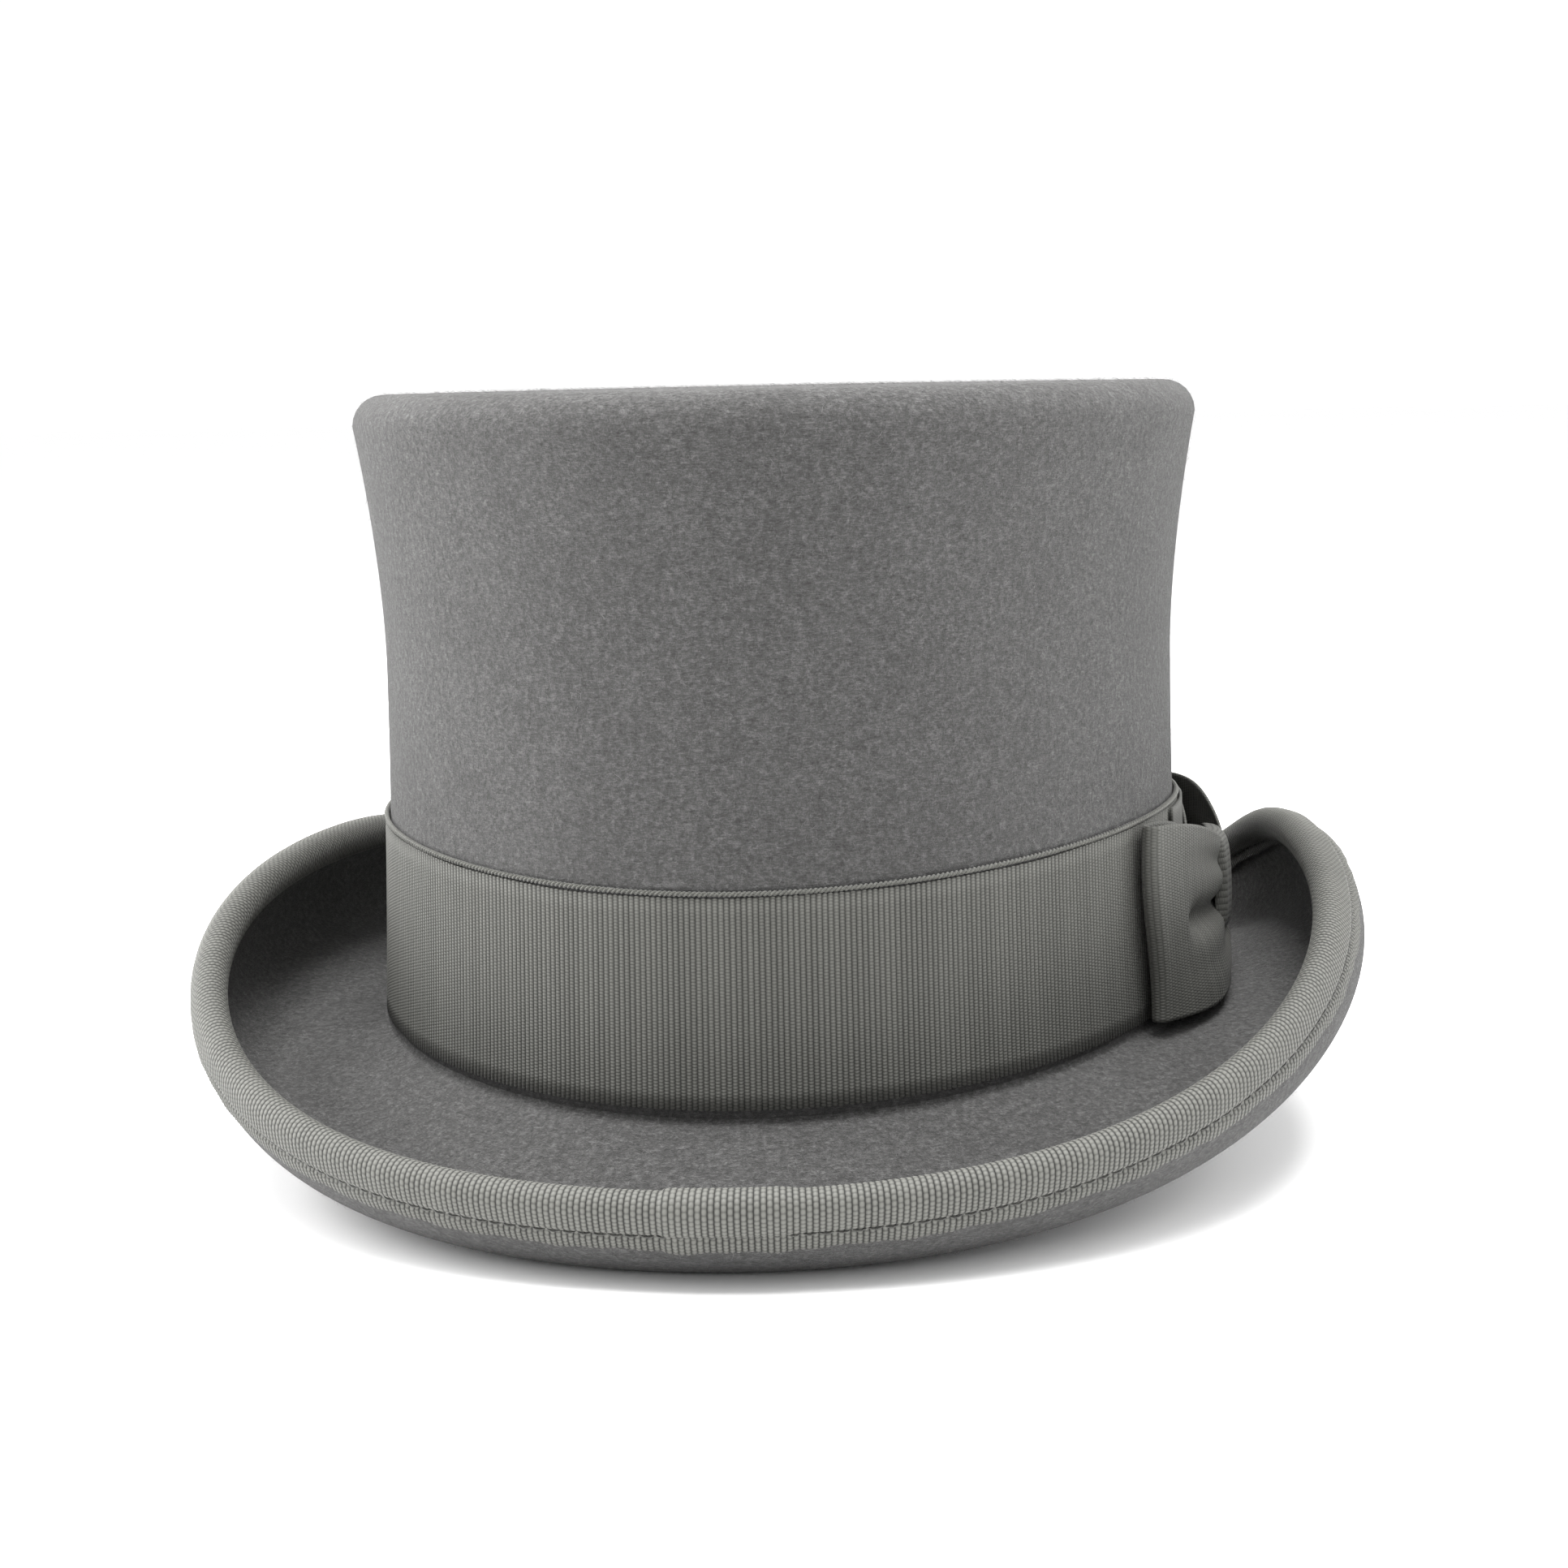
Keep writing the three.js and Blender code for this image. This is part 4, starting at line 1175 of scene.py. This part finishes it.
def nap_tree(cloth, hair, sizes):
    tree, size = new_shape_tree("felt nap", sizes)
    felt = tree.node("GeometryNodeObjectInfo", {}, Object=cloth)["Geometry"]
    position = tree.node("GeometryNodeInputPosition")["Position"]
    height = tree.node("ShaderNodeSeparateXYZ", {}, (position,))["Z"]
    clear = height.sum("GREATER_THAN", height, size["Bare height"])
    scatter = tree.node(
        "GeometryNodeDistributePointsOnFaces", {}, Mesh=felt, Selection=clear,
        Density=size["Hairs per square metre"], Seed=PLACING_SEED)
    upright = aimed(tree, {"axis": "Z"}, Vector=scatter["Normal"])
    spin = chance(tree, -math.pi, math.pi, TURNING_SEED)
    about_z = tree.node("FunctionNodeAxisAngleToRotation", {}, ((0.0, 0.0, 1.0), spin))["Rotation"]
    turned = tree.node(
        "FunctionNodeRotateRotation", {"rotation_space": "LOCAL"}, (upright, about_z))["Rotation"]
    length = chance(tree, 0.5, 1.0, LENGTH_SEED)
    hairs = tree.node(
        "GeometryNodeInstanceOnPoints", {}, Points=scatter["Points"],
        Instance=tree.node("GeometryNodeObjectInfo", {}, Object=hair)["Geometry"], Rotation=turned,
        Scale=length * size["Hair length"])["Instances"]
    finish_tree(tree, hairs, nap_finish, sew=0)
    return tree


nap_sizes = {"Hairs per square metre": 150000.0, "Hair length": 1.7, "Bare height": 1.6 * MM}
hair = one_hair()
nap = grow("felt_nap", nap_tree(felt_body, hair, nap_sizes), nap_sizes)
bpy.data.objects.remove(hair)
print("the nap has", len(nap.data.polygons) // HAIR_FACES, "hairs")
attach(nap, "root")

# %% [markdown]
# ## Studio
# A pale floor that runs out of sight and a bright, even background give the plain studio look. The
# Standard view keeps that background pure white, where a filmic view would grey it. Two tall soft
# lights stand beside the hat, the right one a little behind it, so both edges of the crown shine. A
# third light hangs above, for the brim and the bow.

# %% Floor, background and lights
def studio_floor():
    mesh = bpy.data.meshes.new("floor")
    half = 12.0
    corners = [(-half, -half, 0), (half, -half, 0), (half, half, 0), (-half, half, 0)]
    mesh.from_pydata(corners, [], [(0, 1, 2, 3)])
    floor = add_object("studio_floor", mesh)
    paint, tree, shader = new_finish("pale_floor", Roughness=0.9, Base_Color=(0.95, 0.95, 0.95, 1.0))
    floor.data.materials.append(paint)


def soft_light(name, place, aim, width, height, watts):
    lamp = bpy.data.lights.new(name, "AREA")
    lamp.shape, lamp.size, lamp.size_y, lamp.energy = "RECTANGLE", width, height, watts
    holder = add_object(name, lamp)
    holder.location = place
    holder.rotation_euler = (Vector(aim) - Vector(place)).to_track_quat("-Z", "Y").to_euler()


studio_floor()
world = bpy.data.worlds.new("studio")
world.use_nodes = True
backdrop = world.node_tree.nodes["Background"].inputs
backdrop["Color"].default_value = (1.0, 1.0, 1.0, 1.0)
backdrop["Strength"].default_value = 1.05
bpy.context.scene.world = world
bpy.context.scene.view_settings.view_transform = "Standard"
soft_light("left_soft_light", (-1.1, 0.05, 0.45), (0, 0, 0.08), 0.8, 1.2, 25.0)
soft_light("right_soft_light", (1.1, 0.25, 0.45), (0, 0, 0.08), 0.8, 1.2, 11.0)
soft_light("top_soft_light", (0.0, -0.1, 1.3), (0, 0, 0.1), 1.2, 1.0, 46.0)
print("studio is lit")

# %% [markdown]
# ## Camera
# The camera stands 0.7 m from the crown's axis, turned a little to the bow's side, at the height of
# the crown's tip, and looks slightly down. It is also rolled by about one degree, because the hat
# stands slightly askew in its studio view.

# %% Camera
def studio_camera():
    side_turn, tilt, roll = radians(7.873), radians(7.139), radians(1.145)
    distance, eye_height = 0.700, 0.13206  # metres
    view_width, view_depth = 1932, 3997.5  # the view is this wide at that distance
    sensor = 36.0
    right = Vector((math.cos(side_turn), math.sin(side_turn), 0.0))
    level = Vector((-math.sin(side_turn), math.cos(side_turn), 0.0))
    forward = level * math.cos(tilt) - Vector((0, 0, 1)) * math.sin(tilt)
    up = Vector((0, 0, 1)) * math.cos(tilt) + level * math.sin(tilt)
    rolled_right = right * math.cos(roll) - up * math.sin(roll)
    rolled_up = right * math.sin(roll) + up * math.cos(roll)
    eye = AXIS + Vector((distance * math.sin(side_turn), -distance * math.cos(side_turn), eye_height))
    lens = bpy.data.cameras.new("studio_camera")
    lens.sensor_width = sensor
    lens.lens = view_depth * sensor / view_width
    lens.clip_start, lens.clip_end = 0.05, 60.0
    camera = add_object("studio_camera", lens)
    turn = Matrix((rolled_right, rolled_up, -forward)).transposed().to_4x4()
    camera.matrix_world = Matrix.Translation(eye) @ turn
    bpy.context.scene.camera = camera
    print("lens", round(lens.lens, 2), "mm")


studio_camera()
